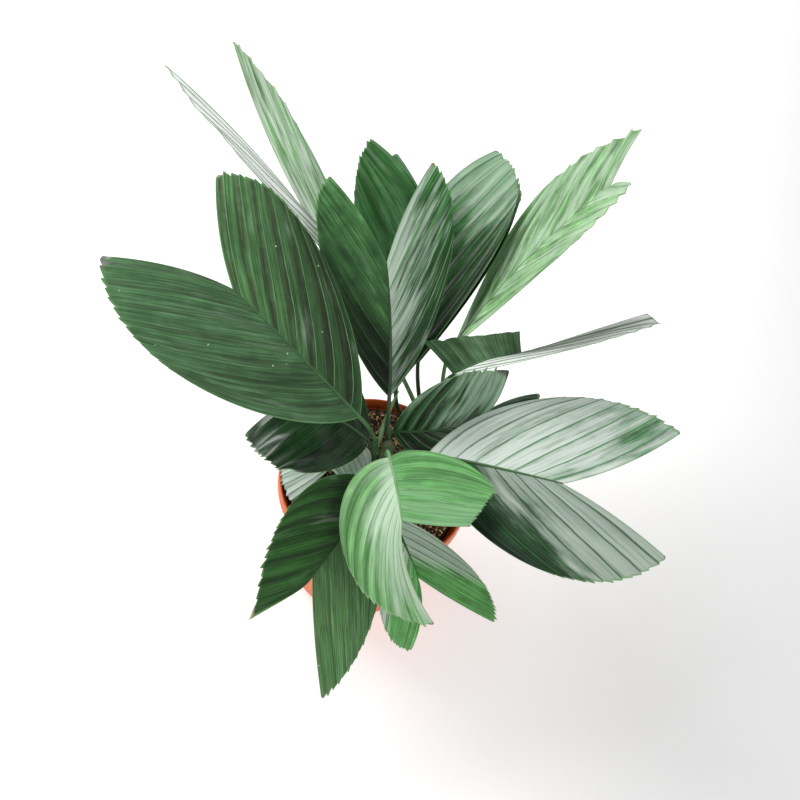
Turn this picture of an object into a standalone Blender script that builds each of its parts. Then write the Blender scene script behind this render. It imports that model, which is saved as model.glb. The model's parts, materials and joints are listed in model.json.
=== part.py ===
"""Potted metallic palm: a nursery pot of coir with two short canes that carry fourteen
two-lobed fronds and a spear. The origin is the middle of the pot's underside, +Z is up, +X is to the
right of the front view and the front of the plant faces -Y. Sizes are in millimetres and
are scaled to metres by MM.
"""
import math
from dataclasses import dataclass

import bmesh
import bpy
import numpy as np

MM = 0.001
GAP = 0.3
WELD = 1e-6
TINY = 1e-9
TURN_MERGE = 1e-5

# Colours
POT_COLOUR = (0.78, 0.17, 0.04)
COIR_COLOUR = (0.16, 0.07, 0.03)
CANE_COLOUR = (0.12, 0.2, 0.06)
DARK_LEAF_COLOUR = (0.03, 0.10, 0.045)
YOUNG_LEAF_COLOUR = (0.14, 0.33, 0.12)

# Pot
POT_HEIGHT = 105.0
POT_RIM_RADIUS = 60.0
POT_BAND_HEIGHT = 11.0
POT_BAND_STEP = 2.2
POT_STEP_RISE = 1.5
POT_BASE_RADIUS = 43.0
POT_WALL = 1.4
POT_FLOOR = 2.0
POT_LIP = 0.45
POT_BASE_CHAMFER = 1.5
POT_SEGMENTS = 48
DRAIN_COUNT = 8
DRAIN_RADIUS = 3.5
DRAIN_CIRCLE = 30.0
DRAIN_SEGMENTS = 10
CUT_UNDER = 3.0

# Soil
SOIL_TOP = 100.5
SOIL_RINGS = 9
SOIL_SEGMENTS = 36
SOIL_HEAP = 2.5
SOIL_LUMP = 1.1
SOIL_WAVE = 0.5
SOIL_WAVE_X = 0.21
SOIL_WAVE_Y = 0.17
SOIL_WAVE_PHASE = 1.0
SOIL_SEED = 11
SOIL_CLEARANCE = 0.45

# Canes
CANE_RADIUS = 4.0
CANE_SCAR_RADIUS = 3.75
CANE_SCAR_PITCH = 9.0
CANE_SCAR_REACH = 0.8
CANE_CROWN = 2.0
CANE_END = 0.8
CANE_ROOT_DEPTH = 32.0
CANE_SEGMENTS = 14
HOLE_RADIUS = 4.4
HOLE_SEGMENTS = 16
CUT_OVER = 20.0

# Fronds
STALK_RADIUS = 1.5
STALK_NECK_RADIUS = 1.2
STALK_TIP_RADIUS = 0.55
STALK_POINTS = 7
MIDRIB_POINTS = 6
BLADE_THICKNESS = 0.75
CELLS_ACROSS = 14
CELLS_ALONG = 5
TOOTHED_FROM = 0.55
PLEAT_DEPTH = 0.16
TOOTH_LENGTH = 1.8
START_SLOPE = 70.0
HANDLE_SHARE = 0.36
NEAR_SPREAD = 1.10
FAR_SPREAD = 1.45
FAR_SPREAD_FULL = 0.35
FAR_HANDLE = 0.72
FAR_HANDLE_FULL = 0.30
EDGE_RISE = 0.6

# Spear
SPEAR_PATH = ((-2.5, 3.5, 140.0), (-5.0, 6.0, 150.0), (-3.0, 16.0, 160.0), (0.0, 27.0, 169.0))
SPEAR_RADII = (0.9, 1.2, 1.4, 1.4, 1.2, 0.9, 0.3)


@dataclass(frozen=True)
class Cane:
    """A short upright stem, by its place on the soil and the height of its top."""

    name: str
    x: float
    y: float
    top: float


@dataclass(frozen=True)
class Lobe:
    """One half of a frond's blade, measured from the blade's base: its chord's length and angles
    away from the midrib and down, its width and the tilt of that width, the chord's arch, how
    full its far end is, where its margin first swells and how far its inner edge bulges. A lobe
    whose end is cut off has an inner corner too: its distance, its two angles and the share of
    the toothed end that lies before the tip. toothed is where along the margin the teeth start."""

    length: float
    splay: float
    droop: float
    width: float
    tilt: float = 0.0
    arch: float = 6.0
    full: float = 0.5
    near: float = 0.2
    inner: float = 0.06
    corner: tuple = ()
    toothed: float = TOOTHED_FROM


@dataclass(frozen=True)
class Frond:
    """A leaf. root is the height and the azimuth at which its stalk leaves the cane, base is
    the point where its blade starts, and midrib is an azimuth, an elevation and a length."""

    name: str
    cane: Cane
    root: tuple
    base: tuple
    midrib: tuple
    roll: float
    left: Lobe
    right: Lobe
    sag: float = 6.0


CANE_LEFT = Cane("cane_left", 3.0, 1.0, 150.0)
CANE_RIGHT = Cane("cane_right", 26.0, 26.0, 138.0)
CANES = (CANE_LEFT, CANE_RIGHT)

FRONDS = (
    Frond(
        "frond_left", CANE_LEFT,
        root=(140, -155),
        base=(-18.0, -8.5, 185.0),
        midrib=(164, 32, 107),
        roll=6,
        left=Lobe(177, 12, 4, 38, -2, 9, 0.45, 0.2, 0.045),
        right=Lobe(162, 18.5, 6, 30, -2, 5, 0.75, 0.2, 0.09),
        sag=1.0,
    ),
    Frond(
        "frond_middle", CANE_LEFT,
        root=(146, 114),
        base=(-4.5, 18.0, 173.0),
        midrib=(110, 36, 80),
        roll=-4,
        left=Lobe(137, 12, 9, 20, 6, 7, 0.55, 0.2, 0.04),
        right=Lobe(146, 14, 8, 21, -5, 6, 0.45, 0.25, 0.06),
    ),
    Frond(
        "frond_back", CANE_RIGHT,
        root=(112, 137),
        base=(-2.0, 33.5, 161.0),
        midrib=(95, 18, 118),
        roll=10,
        left=Lobe(163, 15, -2, 15, -2, 10, 0.45, 0.2, 0.08),
        right=Lobe(169, 12, 2, 29, 13, 12, 0.45, 0.5, 0.06),
    ),
    Frond(
        "frond_back_lower", CANE_RIGHT,
        root=(125, 136),
        base=(7.0, 57.5, 157.0),
        midrib=(96, 11, 92),
        roll=21,
        left=Lobe(145, 12, -6, 26, 0, 8, 0.5, 0.2, 0.06),
        right=Lobe(148, 12, 1, 33, 11, 14, 0.5, 0.4, 0.06),
    ),
    Frond(
        "frond_right_young", CANE_RIGHT,
        root=(132, 70),
        base=(25.5, 70.5, 167.5),
        midrib=(50, 42, 136),
        roll=35,
        left=Lobe(174, 8, 1, 35, 1, 4, -0.1, 0.45, 0.05),
        right=Lobe(151, 10, -3.5, 33, 26, 3, 0.55, 0.25, 0.04),
    ),
    Frond(
        "frond_right_folded", CANE_RIGHT,
        root=(133, 116),
        base=(29.5, 46.5, 172.0),
        midrib=(24, 22, 43),
        roll=-5,
        left=Lobe(29.5, 124, -43, 3, 0, 1, 0.5, 0.3, -0.1, corner=(48.2, 14, -9.6, 0.0), toothed=1.0),
        right=Lobe(128, 0.5, 4.5, 29, 58, 2, 0.1, 0.1, 0.0, corner=(123, -3, 4, 0.86)),
    ),
    Frond(
        "frond_right_inner", CANE_LEFT,
        root=(136, 92),
        base=(2.5, 14.5, 143.5),
        midrib=(15, 14, 47),
        roll=-55,
        left=Lobe(81.5, 24.5, -2.5, 29, 37, 9, 0.0, 0.33, 0.145),
        right=Lobe(97, -1, 20, 39, -2, -3, 0.4, 0.1, 0.08),
        sag=4.5,
    ),
    Frond(
        "frond_right", CANE_LEFT,
        root=(142, -14),
        base=(26.5, -4.5, 158.5),
        midrib=(-9, 19, 85),
        roll=-14,
        left=Lobe(152, 24, 14, 30, -7, 6, 0, 0.2, 0.08),
        right=Lobe(153, 8, 10, 38, 0, 5, 0.4, 0.2, 0.025),
        sag=2.5,
    ),
    Frond(
        "frond_front_young", CANE_LEFT,
        root=(146, -90),
        base=(5.0, -16.0, 162.5),
        midrib=(-71, 15, 51),
        roll=-40,
        left=Lobe(70, 49, 22, 13, -20, 5, 0.2, 0.15, 0.04, corner=(73, 27, 15, 0.36), toothed=0.85),
        right=Lobe(102.5, 10.5, 28.5, 28, 12, 30, 0.5, 0, 0.02),
        sag=-1.5,
    ),
    Frond(
        "frond_front_left", CANE_LEFT,
        root=(128, -98),
        base=(0.0, -19.5, 139.5),
        midrib=(-105, 3, 79),
        roll=29,
        left=Lobe(134, 24, 10, 20, -7, 6, 0.1, 0.2, 0.06),
        right=Lobe(118, 8, 2, 35, 12, 11, -0.3, 0.3, 0.08),
    ),
    Frond(
        "frond_front_right", CANE_LEFT,
        root=(122, -74),
        base=(12.5, -30.0, 122.0),
        midrib=(-48, -16, 43),
        roll=-7,
        left=Lobe(92, 17, -9, 12, -4, 6, 0.45, 0.3, 0.06),
        right=Lobe(84, 13, 13, 17, 1, 11, 0.7, 0.15, 0.08),
    ),
    Frond(
        "frond_left_lower", CANE_LEFT,
        root=(128, 157),
        base=(-9.5, 6.0, 137.0),
        midrib=(176, 18, 54),
        roll=-3,
        left=Lobe(76, 20, 12, 32, 7, 9, 0.4, 0.2, 0.02),
        right=Lobe(108, 18, 10, 34, 0, 8, 0.5, 0.2, 0.06),
    ),
    Frond(
        "frond_left_small", CANE_LEFT,
        root=(114, 140),
        base=(-12.5, 14.0, 118.0),
        midrib=(238, 10, 31),
        roll=-17,
        left=Lobe(40, 23, -5, 11, 0, 3, 0.5, 0.2, 0.06),
        right=Lobe(57, 12, 19, 27, 10, 2, 0.45, 0.25, 0.06),
    ),
    Frond(
        "frond_back_left", CANE_RIGHT,
        root=(134, 161),
        base=(-32.0, 82.5, 172.0),
        midrib=(150, 26, 57),
        roll=-23,
        left=Lobe(188, 8, -1, 28, 20, 9, 0.3, 0.2, 0.0),
        right=Lobe(182, 11.5, -2.5, 30, -14, 0, 0.3, 0.2, 0.065),
    ),
)
YOUNG = ("frond_right_young", "frond_front_young", "frond_back_left")


def unit(vector):
    """The vector at length 1."""
    return vector / np.linalg.norm(vector)


def unit_rows(rows):
    """Each row at length 1."""
    return rows / np.maximum(np.linalg.norm(rows, axis=1, keepdims=True), TINY)


def heading(azimuth, elevation):
    """Unit vector from degrees of azimuth, from +X towards +Y, and of elevation."""
    azimuth, elevation = math.radians(azimuth), math.radians(elevation)
    flat = math.cos(elevation)
    return np.array([flat * math.cos(azimuth), flat * math.sin(azimuth), math.sin(elevation)])


def bezier(controls, t):
    """Points of a Bezier curve of any degree at the values t."""
    t = np.asarray(t, float)[:, None]
    degree = len(controls) - 1
    return sum(
        math.comb(degree, i) * t**i * (1 - t) ** (degree - i) * point
        for i, point in enumerate(controls)
    )


def frond_axes(frond):
    """Forward, right and upper directions of the frond's blade."""
    forward = heading(*frond.midrib[:2])
    level = unit(np.cross(forward, (0.0, 0.0, 1.0)))
    above = np.cross(level, forward)
    roll = math.radians(frond.roll)
    side = math.cos(roll) * level + math.sin(roll) * above
    return forward, side, -math.sin(roll) * level + math.cos(roll) * above


def stalk_curves(frond):
    """Control points of the stalk and of the midrib."""
    height, azimuth = frond.root
    reach = CANE_RADIUS + GAP + STALK_RADIUS
    root = np.array([frond.cane.x, frond.cane.y, height]) + reach * heading(azimuth, 0.0)
    base = np.array(frond.base)
    forward, _, up = frond_axes(frond)
    notch = base + frond.midrib[2] * forward
    middle = (base + notch) / 2 + 2 * frond.sag * up
    handle = HANDLE_SHARE * np.linalg.norm(base - root)
    stalk = (
        root,
        root + handle * heading(azimuth, START_SLOPE),
        base - handle * unit(middle - base),
        base,
    )
    return stalk, (base, middle, notch)


def lobe_direction(frond, hand, splay, droop):
    """Unit vector at an angle away from the midrib and an angle down from the blade's plane."""
    forward, side, up = frond_axes(frond)
    splay, droop = math.radians(splay), math.radians(droop)
    level = math.cos(splay) * forward + hand * math.sin(splay) * side
    return math.cos(droop) * level - math.sin(droop) * up


def lobe_curves(frond, lobe, hand):
    """Control points of a lobe's outer margin and of its inner edge. hand is -1 left, 1 right."""
    side = frond_axes(frond)[1]
    _, (base, _, notch) = stalk_curves(frond)
    chord = lobe_direction(frond, hand, lobe.splay, lobe.droop)
    tilt = math.radians(lobe.tilt)
    out = unit(hand * side - (hand * side @ chord) * chord)
    above = hand * np.cross(out, chord)
    lifted = math.cos(tilt) * out + math.sin(tilt) * above
    tip = base + lobe.length * chord
    rise = lobe.arch * 4 / 3 * above
    far = FAR_HANDLE + FAR_HANDLE_FULL * lobe.full
    spread = (FAR_SPREAD + FAR_SPREAD_FULL * lobe.full) * lobe.width
    margin = (
        base,
        base + lobe.near * lobe.length * chord + NEAR_SPREAD * lobe.width * lifted + rise,
        base + far * lobe.length * chord + spread * lifted + rise,
        tip,
    )
    corner = tip
    if lobe.corner:
        corner = base + lobe.corner[0] * lobe_direction(frond, hand, *lobe.corner[1:3])
    edge = corner - notch
    bulge = EDGE_RISE * rise - lobe.inner * np.linalg.norm(edge) * out
    return margin, (notch, notch + edge / 3 + bulge, notch + edge * 2 / 3 + bulge, corner)


def toothed_end(lobe, margin, corner, u):
    """Points of a lobe's toothed end: the outer part of its margin and, where the lobe is cut
    off, a straight line from the tip to the inner corner."""
    share = lobe.corner[3] if lobe.corner else 1.0
    before = np.clip(u / max(share, WELD), 0, 1)
    after = np.clip((u - share) / max(1 - share, WELD), 0, 1)[:, None]
    return bezier(margin, lobe.toothed + (1 - lobe.toothed) * before) + after * (corner - margin[-1])


def blade_grid(frond, lobe, hand):
    """Points of one half-blade, across its ribs and then along them: a patch between the
    midrib, the toothed margin, the outermost rib and the lobe's inner edge."""
    margin, edge = lobe_curves(frond, lobe, hand)
    _, midrib = stalk_curves(frond)
    u = np.linspace(0, 1, CELLS_ACROSS + 1)
    v = np.linspace(0, 1, CELLS_ALONG + 1)
    near, far = bezier(midrib, u), toothed_end(lobe, margin, edge[-1], u)
    low, high = bezier(margin, lobe.toothed * v), bezier(edge, v)
    across, along = u[:, None, None], v[None, :, None]
    grid = (1 - along) * near[:, None] + along * far[:, None]
    grid = grid + (1 - across) ** 2 * (low[None] - (1 - along) * near[0] - along * far[0])
    return grid + across**2 * (high[None] - (1 - along) * near[-1] - along * far[-1])


def pleated(grid, hand):
    """The half-blade with a ridge on every second rib, deeper where ribs lie further apart,
    and a tooth at each ridge's end."""
    du = np.gradient(grid, axis=0)
    dv = np.gradient(grid, axis=1)
    normal = hand * np.cross(dv, du)
    size = np.linalg.norm(normal, axis=2, keepdims=True)
    normal = normal / np.maximum(size, TINY)
    spacing = size / np.maximum(np.linalg.norm(dv, axis=2, keepdims=True), TINY)
    ridge = (np.arange(len(grid)) % 2 * 2.0 - 1.0)[:, None, None]
    ridge[0] = ridge[-1] = 0.0
    shaped = grid + PLEAT_DEPTH * ridge * spacing * normal
    shaped[:, 0] = grid[:, 0]
    ends = unit_rows(grid[:, -1] - grid[:, -2])
    shaped[:, -1] += TOOTH_LENGTH / 2 * ridge[:, 0] * ends
    return shaped


def material(name, colour, roughness, metallic=0.0):
    """A Principled material."""
    made = bpy.data.materials.new(name)
    made.use_nodes = True
    shader = made.node_tree.nodes["Principled BSDF"]
    shader.inputs["Base Color"].default_value = (*colour, 1.0)
    shader.inputs["Roughness"].default_value = roughness
    shader.inputs["Metallic"].default_value = metallic
    return made


def add_object(name, data, collection, finish=None):
    """A new object with this mesh or curve in the collection."""
    made = bpy.data.objects.new(name, data)
    collection.objects.link(made)
    if finish:
        data.materials.append(finish)
    return made


def evaluated_mesh(obj, name):
    """The object's mesh with its modifiers applied and doubled points welded."""
    bpy.context.view_layer.update()
    graph = bpy.context.evaluated_depsgraph_get()
    mesh = bpy.data.meshes.new_from_object(obj.evaluated_get(graph))
    mesh.name = name
    work = bmesh.new()
    work.from_mesh(mesh)
    bmesh.ops.remove_doubles(work, verts=work.verts, dist=WELD)
    work.to_mesh(mesh)
    work.free()
    return mesh


def lathe(name, profile, segments, collection, finish):
    """A turned solid from a closed outline of (radius, height) pairs, down its outer side."""
    mesh = bpy.data.meshes.new(name)
    points = [(r * MM, 0.0, z * MM) for r, z in profile]
    mesh.from_pydata(points, [(i, i + 1) for i in range(len(points) - 1)], [])
    made = add_object(name, mesh, collection, finish)
    screw = made.modifiers.new("Turn", "SCREW")
    screw.steps = screw.render_steps = segments
    screw.use_merge_vertices = True
    screw.merge_threshold = TURN_MERGE
    screw.use_smooth_shade = True
    return made


def cut(obj, cutter):
    """Takes the cutter's shape out of the object."""
    cutter.hide_render = True
    cutter.display_type = "WIRE"
    modifier = obj.modifiers.new("Cut " + cutter.name, "BOOLEAN")
    modifier.operation = "DIFFERENCE"
    modifier.solver = "EXACT"
    modifier.object = cutter


def drill(name, radius, depth, location, segments, collection):
    """A cylinder to cut with, standing up from its location."""
    bpy.ops.mesh.primitive_cylinder_add(
        vertices=segments,
        radius=radius * MM,
        depth=depth * MM,
        location=[c * MM for c in (location[0], location[1], location[2] + depth / 2)],
    )
    made = bpy.context.object
    made.name = name
    for holder in list(made.users_collection):
        holder.objects.unlink(made)
    collection.objects.link(made)
    return made


def wall_radius(height):
    """Outer radius of the pot's wall below its band."""
    top = POT_RIM_RADIUS - POT_BAND_STEP
    return POT_BASE_RADIUS + (top - POT_BASE_RADIUS) * height / POT_HEIGHT


def build_pot(parts, cutters):
    """The pot: a tapered wall with a stepped band at its rim and drain holes in its floor."""
    band = POT_HEIGHT - POT_BAND_HEIGHT
    outline = [
        (0.0, POT_FLOOR),
        (wall_radius(POT_FLOOR) - POT_WALL, POT_FLOOR),
        (wall_radius(band) - POT_WALL, band),
        (POT_RIM_RADIUS - POT_WALL, band + POT_STEP_RISE),
        (POT_RIM_RADIUS - POT_WALL, POT_HEIGHT - POT_LIP),
        (POT_RIM_RADIUS - POT_WALL + POT_LIP, POT_HEIGHT),
        (POT_RIM_RADIUS - POT_LIP, POT_HEIGHT),
        (POT_RIM_RADIUS, POT_HEIGHT - POT_LIP),
        (POT_RIM_RADIUS - POT_LIP, band),
        (wall_radius(band), band),
        (wall_radius(POT_BASE_CHAMFER), POT_BASE_CHAMFER),
        (POT_BASE_RADIUS - POT_BASE_CHAMFER, 0.0),
        (0.0, 0.0),
    ]
    finish = material("Pot plastic", POT_COLOUR, 0.45)
    pot = lathe("pot", outline, POT_SEGMENTS, parts, finish)
    for i in range(DRAIN_COUNT):
        angle = 2 * math.pi * i / DRAIN_COUNT
        place = (DRAIN_CIRCLE * math.cos(angle), DRAIN_CIRCLE * math.sin(angle), -CUT_UNDER)
        depth = POT_FLOOR + 2 * CUT_UNDER
        cut(pot, drill(f"drain_{i + 1}", DRAIN_RADIUS, depth, place, DRAIN_SEGMENTS, cutters))


def soil_radius(height):
    """Radius of the soil at this height: it stands clear of the pot's wall."""
    return wall_radius(height) - POT_WALL - SOIL_CLEARANCE


def soil_height(x, y, share, lump):
    """Height of the soil's surface at this share of its radius: heaped in the middle, lumpy all
    over."""
    swell = SOIL_HEAP * math.cos(math.pi / 2 * share) ** 2
    wave = SOIL_WAVE * math.sin(SOIL_WAVE_X * x + SOIL_WAVE_PHASE) * math.cos(SOIL_WAVE_Y * y)
    return SOIL_TOP + swell + wave + lump


def build_soil(parts, cutters):
    """The coir: it fills the pot to just below the rim, with a hole for each cane."""
    rng = np.random.default_rng(SOIL_SEED)
    band = POT_HEIGHT - POT_BAND_HEIGHT
    bottom = POT_FLOOR + GAP
    rim = soil_radius(band)
    verts, faces = [(0.0, 0.0, soil_height(0.0, 0.0, 0.0, 0.0))], []
    for ring in range(1, SOIL_RINGS + 1):
        share = ring / SOIL_RINGS
        for k in range(SOIL_SEGMENTS):
            angle = 2 * math.pi * (k + 0.5 * (ring % 2)) / SOIL_SEGMENTS
            x, y = rim * share * math.cos(angle), rim * share * math.sin(angle)
            lump = rng.uniform(-SOIL_LUMP, SOIL_LUMP)
            verts.append((x, y, soil_height(x, y, share, lump)))
    for radius, height in ((rim, band), (soil_radius(bottom), bottom)):
        for k in range(SOIL_SEGMENTS):
            angle = 2 * math.pi * (k + 0.5 * (SOIL_RINGS % 2)) / SOIL_SEGMENTS
            verts.append((radius * math.cos(angle), radius * math.sin(angle), height))
    rows = [[0] * SOIL_SEGMENTS]
    for ring in range(SOIL_RINGS + 2):
        rows.append([1 + ring * SOIL_SEGMENTS + k for k in range(SOIL_SEGMENTS)])
    for inner_row, outer_row in zip(rows, rows[1:]):
        for k in range(SOIL_SEGMENTS):
            following = (k + 1) % SOIL_SEGMENTS
            faces.append((inner_row[k], outer_row[k], outer_row[following]))
            if inner_row[k] != inner_row[following]:
                faces.append((inner_row[k], outer_row[following], inner_row[following]))
    faces.append(tuple(reversed(rows[-1])))
    mesh = bpy.data.meshes.new("soil")
    mesh.from_pydata([tuple(c * MM for c in v) for v in verts], [], faces)
    soil = add_object("soil", mesh, parts, material("Coir", COIR_COLOUR, 0.95))
    for cane in CANES:
        depth = CANE_ROOT_DEPTH + GAP
        place = (cane.x, cane.y, SOIL_TOP - depth)
        cut(soil, drill(f"hole_{cane.name}", HOLE_RADIUS, depth + CUT_OVER, place, HOLE_SEGMENTS, cutters))


def build_cane(cane, parts):
    """A cane: grooves left by old leaves ring it, and it ends in a blunt crown."""
    bottom = SOIL_TOP - CANE_ROOT_DEPTH
    outline = [
        (0.0, cane.top),
        (CANE_RADIUS - CANE_CROWN, cane.top - CANE_END),
        (CANE_RADIUS, cane.top - CANE_CROWN),
    ]
    height = cane.top - CANE_SCAR_PITCH
    while height > SOIL_TOP + SOIL_HEAP:
        outline.append((CANE_RADIUS, height + CANE_SCAR_REACH))
        outline.append((CANE_SCAR_RADIUS, height))
        outline.append((CANE_RADIUS, height - CANE_SCAR_REACH))
        height -= CANE_SCAR_PITCH
    outline.append((CANE_RADIUS, bottom + CANE_END))
    outline.append((CANE_RADIUS - CANE_END, bottom))
    outline.append((0.0, bottom))
    made = lathe(cane.name, outline, CANE_SEGMENTS, parts, material("Cane", CANE_COLOUR, 0.6))
    made.location = (cane.x * MM, cane.y * MM, 0.0)


def build_sheet(frond):
    """Both half-blades as one open sheet of triangles that share the midrib."""
    sheet = bmesh.new()
    shared = None
    for lobe, hand in ((frond.left, -1), (frond.right, 1)):
        points = pleated(blade_grid(frond, lobe, hand), hand)
        rows = [[None] * (CELLS_ALONG + 1) for _ in range(CELLS_ACROSS + 1)]
        for i in range(CELLS_ACROSS + 1):
            for j in range(CELLS_ALONG + 1):
                if j == 0 and shared:
                    rows[i][0] = shared[i]
                else:
                    rows[i][j] = sheet.verts.new(points[i, j] * MM)
        shared = shared or [row[0] for row in rows]
        for i in range(CELLS_ACROSS):
            for j in range(CELLS_ALONG):
                corners = [rows[i][j], rows[i + 1][j], rows[i + 1][j + 1], rows[i][j + 1]]
                if hand > 0:
                    corners.reverse()
                    corners = corners[-1:] + corners[:-1]
                sheet.faces.new((corners[0], corners[1], corners[2]))
                sheet.faces.new((corners[0], corners[2], corners[3]))
    mesh = bpy.data.meshes.new(frond.name)
    sheet.to_mesh(mesh)
    sheet.free()
    return mesh


def build_rod(name, path, radii, collection):
    """A round rod along a path, as a mesh."""
    curve = bpy.data.curves.new(name, "CURVE")
    curve.dimensions = "3D"
    curve.bevel_depth = MM
    curve.bevel_resolution = 1
    curve.use_fill_caps = True
    spline = curve.splines.new("POLY")
    spline.points.add(len(path) - 1)
    for point, place, radius in zip(spline.points, path, radii):
        point.co = (*(place * MM), 1.0)
        point.radius = radius
    guide = add_object(name + "_guide", curve, collection)
    mesh = evaluated_mesh(guide, name)
    bpy.data.objects.remove(guide)
    return mesh


def build_stalk(frond, collection):
    """The stalk and midrib as one round tapering rod."""
    stalk, midrib = stalk_curves(frond)
    along = bezier(stalk, np.linspace(0, 1, STALK_POINTS))
    path = np.vstack([along, bezier(midrib, np.linspace(0, 1, MIDRIB_POINTS))[1:]])
    radii = np.interp(
        np.arange(len(path)),
        (0, STALK_POINTS - 1, len(path) - 1),
        (STALK_RADIUS, STALK_NECK_RADIUS, STALK_TIP_RADIUS),
    )
    mesh = build_rod(frond.name + "_stalk", path, radii, collection)
    return add_object(mesh.name, mesh, collection)


def build_spear(parts, cutters, finish):
    """The newest leaf, still rolled into a spear, beside the left cane's crown."""
    path = bezier([np.array(p) for p in SPEAR_PATH], np.linspace(0, 1, len(SPEAR_RADII)))
    add_object("spear", build_rod("spear", path, SPEAR_RADII, cutters), parts, finish)


def build_frond(frond, parts, cutters, finish):
    """A frond: the sheet is given its thickness and joined to its stalk."""
    made = add_object(frond.name, build_sheet(frond), parts, finish)
    thicken = made.modifiers.new("Thickness", "SOLIDIFY")
    thicken.thickness = BLADE_THICKNESS * MM
    thicken.offset = 0.0
    stalk = build_stalk(frond, cutters)
    join = made.modifiers.new("Join stalk", "BOOLEAN")
    join.operation = "UNION"
    join.object = stalk
    for solver in ("EXACT", "MANIFOLD"):
        join.solver = solver
        joined = evaluated_mesh(made, frond.name)
        if joined.polygons:
            break
    made.modifiers.clear()
    made.data = joined
    bpy.data.objects.remove(stalk)


def main():
    """Clears the scene and builds the plant."""
    for obj in list(bpy.data.objects):
        bpy.data.objects.remove(obj)
    parts = bpy.data.collections.new("Potted metallic palm")
    cutters = bpy.data.collections.new("Cutters")
    bpy.context.scene.collection.children.link(parts)
    bpy.context.scene.collection.children.link(cutters)
    build_pot(parts, cutters)
    build_soil(parts, cutters)
    for cane in CANES:
        build_cane(cane, parts)
    dark = material("Dark leaf", DARK_LEAF_COLOUR, 0.4, 0.15)
    light = material("Young leaf", YOUNG_LEAF_COLOUR, 0.45, 0.05)
    build_spear(parts, cutters, light)
    for frond in FRONDS:
        build_frond(frond, parts, cutters, light if frond.name in YOUNG else dark)


main()
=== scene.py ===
"""Looks for a potted metallic palm.

The fronds, canes, growing mix and pot stand in for the solids of the same names and keep their
places. Lengths are in millimetres and angles in degrees, and MM scales to metres.
"""

import json
import logging
import math
from dataclasses import dataclass, field
from enum import Enum

import bmesh
import bpy
import numpy as np
from mathutils import Matrix, Vector

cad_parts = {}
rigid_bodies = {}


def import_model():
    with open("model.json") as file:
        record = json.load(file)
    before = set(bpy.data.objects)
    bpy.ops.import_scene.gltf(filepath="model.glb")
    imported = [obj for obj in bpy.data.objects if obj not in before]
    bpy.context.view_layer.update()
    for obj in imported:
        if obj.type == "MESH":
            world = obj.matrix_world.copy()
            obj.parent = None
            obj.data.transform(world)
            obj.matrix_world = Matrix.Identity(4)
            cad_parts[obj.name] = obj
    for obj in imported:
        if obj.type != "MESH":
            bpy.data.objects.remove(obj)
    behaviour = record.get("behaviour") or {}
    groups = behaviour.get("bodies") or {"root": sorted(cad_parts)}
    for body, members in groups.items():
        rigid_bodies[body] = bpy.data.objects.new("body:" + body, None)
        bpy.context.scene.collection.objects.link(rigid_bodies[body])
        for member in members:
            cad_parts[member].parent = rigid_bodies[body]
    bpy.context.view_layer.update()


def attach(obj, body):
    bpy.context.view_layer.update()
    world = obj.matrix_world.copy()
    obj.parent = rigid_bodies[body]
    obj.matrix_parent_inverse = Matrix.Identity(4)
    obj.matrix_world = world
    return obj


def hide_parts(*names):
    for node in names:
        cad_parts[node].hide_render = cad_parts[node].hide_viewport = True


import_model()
MM = 0.001
LOG = logging.getLogger("palm")


# Geometry of curves


def unit(vector: np.ndarray) -> np.ndarray:
    """Returns the vector at length 1."""
    return vector / np.linalg.norm(vector)


def unit_rows(rows: np.ndarray) -> np.ndarray:
    """Returns each row at length 1."""
    return rows / np.maximum(np.linalg.norm(rows, axis=1, keepdims=True), 1e-9)


def heading(azimuth: float, elevation: float) -> np.ndarray:
    """Gives a direction.

    Args:
        azimuth: degrees from +X towards +Y.
        elevation: degrees above the level.

    Returns:
        The unit vector.
    """
    turn, rise = math.radians(azimuth), math.radians(elevation)
    return np.array([math.cos(rise) * math.cos(turn), math.cos(rise) * math.sin(turn), math.sin(rise)])


def bezier(controls: tuple, t: np.ndarray) -> np.ndarray:
    """Evaluates a Bezier curve of any degree.

    Args:
        controls: its control points.
        t: values from 0 to 1.

    Returns:
        One point for each value.
    """
    t = np.asarray(t, float)[:, None]
    degree = len(controls) - 1
    return sum(
        math.comb(degree, i) * t**i * (1 - t) ** (degree - i) * point for i, point in enumerate(controls)
    )


# Node trees


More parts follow.
